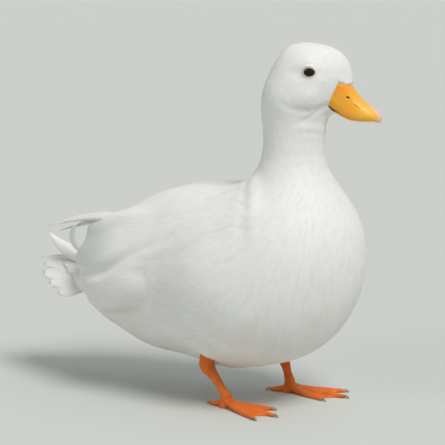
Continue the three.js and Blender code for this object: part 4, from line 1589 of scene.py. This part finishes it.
# deeper red: uneven tone, the joints between scales, and painted shade towards the top of the legs
LEG_DEEP = (0.60, 0.09, 0.012)
CLAW_HORN = (0.33, 0.17, 0.09)
CLAW_PALE = (0.62, 0.42, 0.26)
LEG_VOXEL = 0.6 * MM
LEG_GROW = 0.2 * MM
LEG_SCALE = 1.15 * MM  # width of one scale


def leg_finish():
    made = Finish("leg_orange", LEG_ORANGE, 0.45, Specular_IOR_Level=0.3)
    made.tint(LEG_DEEP, made.ranged(made.noise(6 * MM), 0.45, 0.75, 0, 0.6))
    stretched = made.place(scale=(1, 1, 0.7))
    cells = made.node("ShaderNodeTexVoronoi", Vector=stretched, Scale=1 / LEG_SCALE)
    cells.feature = "DISTANCE_TO_EDGE"
    made.bump(made.ranged(cells.outputs["Distance"], 0.0, 0.12), 0.12 * MM)
    made.tint(LEG_DEEP, made.ranged(cells.outputs["Distance"], 0.10, 0.0, 0, 0.32))
    # painted shade: the legs darker towards the top, under the belly
    height = made.axes(made.place())["Z"]
    made.tint(LEG_DEEP, made.ranged(height, 24 * MM, 42 * MM, 0, 0.6))
    return made.material


def claw_finish():
    made = Finish("claw_horn", CLAW_HORN, 0.4)
    made.tint(CLAW_PALE, made.ranged(made.noise(2 * MM), 0.4, 0.7, 0, 0.6))
    return made.material


def add_leg(name, material):
    """The leg and its webbed foot as one smooth form over the solids."""
    nodes = f"leg_{name}", f"foot_{name}"
    data, surface = eased_skin(nodes, LEG_GROW, LEG_VOXEL, 7)
    surface.points[:, 2] = np.maximum(surface.points[:, 2], CAD_BOX[0][2])
    set_points(data, surface.points)
    finished(f"leg_skin_{name}", data, material, "leg", *nodes)


def dress_legs():
    orange, horn = leg_finish(), claw_finish()
    for name in SIDES:
        add_leg(name, orange)
    for node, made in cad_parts.items():
        if node.startswith("claw"):
            for slot in made.material_slots:
                slot.material = horn


# ---------- The coat ----------

VANES = (  # length and half width of a feather on body, neck and head and by eye or bill, in mm
    (18, 9, 4.2, 2.0),
    (2.7, 1.7, 1.0, 0.6),
)
BODY_LAYERS, FEWER_ON_HEAD = 7.6, 3.2  # how many feathers cover each place
VANE_FILL = 0.68  # share of its length times its width that a feather covers


def coat_size(points):
    head = smooth(200 * MM, 214 * MM, points[:, 2])
    neck = smooth(135 * MM, 185 * MM, points[:, 2])
    by_bill = bump_at(np.abs(past_line(points)), 7 * MM)
    by_eye = bump_at(np.linalg.norm(eye_side(points), axis=1) - EYE_RADIUS, 4 * MM)
    small = head * np.maximum(by_bill, by_eye * bump_at(lid_reach(points) - 1, 1.6))
    sizes = []
    for on_body, on_neck, on_head, at_rim in VANES:
        size = on_body * MM + (on_neck - on_body) * MM * neck
        size = size + (on_head * MM - size) * head
        sizes.append(size + (at_rim * MM - size) * small)
    return *sizes, coat_depth(points)


def coat_spacing(points):
    length, half, _ = coat_size(points)
    layers = BODY_LAYERS - FEWER_ON_HEAD * smooth(200 * MM, 214 * MM, points[:, 2])
    return np.sqrt(length * half * 2 * VANE_FILL / layers)


def bare_parts(points):
    """Whether the coat leaves a place bare: bill, eye openings and folded wings."""
    bare = (past_line(points) > -0.25 * MM) & (points[:, 2] > HEAD_LEVEL)
    by_eye = np.linalg.norm(eye_side(points), axis=1) < EYE_RADIUS + 4 * MM
    bare |= by_eye & (lid_reach(points) < 1.04)
    return bare | (on_wing(points, 5) & (wing_place(points)[0] < 0.97))


def add_coat(bed, white):
    bare = bare_parts(bed.skin.points[bed.skin.triangles].mean(axis=1))
    roots = scattered(bed.skin, ~bare, coat_spacing, 3)
    x, y, z = roots[0].T
    on_head = z > 205 * MM
    on_neck = ~on_head & (z > 150 * MM) & (x > 40 * MM)
    rest = ~(on_head | on_neck)
    ahead = x > 55 * MM
    left, head_left = y > 0, in_head(roots[0])[:, 1] > 0
    zones = []
    for name, is_left in (("left", True), ("right", False)):
        there = left == is_left
        zones += [
            (f"coat_head_{name}", on_head & (head_left == is_left), SMALL),
            (f"coat_neck_{name}", on_neck & there, CONTOUR),
            (f"coat_breast_{name}", rest & ahead & there, CONTOUR),
            (f"coat_body_{name}", rest & ~ahead & there, CONTOUR),
        ]
    for i, (name, inside, cut) in enumerate(zones):
        chosen = [part[inside] for part in roots]
        made = lay_feathers(bed, chosen, coat_size, cut, np.random.default_rng(i))
        piece_of(name, made, white)


# ---------- Run ----------

def main():
    bpy.context.scene.view_settings.view_transform = "Standard"
    add_camera()
    for lamp in LAMPS:
        add_lamp(*lamp)
    add_world()
    add_floor()

    white = plumage_finish()
    data, outer = make_form()
    shaped(outer)
    depth = coat_depth(outer.points)[:, None]
    skin = Surface(outer.points - outer.normals() * depth, outer.triangles)
    skin.points = sunk_under_bill(skin.points)
    set_points(data, skin.points)
    flat = unwrapped(data)
    finished("skin", data, skin_finish(), "plumage", *FLESH)
    bed = Bed(skin, flat)
    add_coat(bed, white)
    for name, side in SIDES.items():
        add_wing(name, side, bed, white)
    add_tail(white)
    orange = bill_finish()
    add_bill(orange)
    add_lower_bill(orange)
    dark, lid = eye_finish(), lid_finish()
    for name, side in SIDES.items():
        add_eye(name, side, dark)
        add_lid(name, side, lid)
    dress_legs()


main()
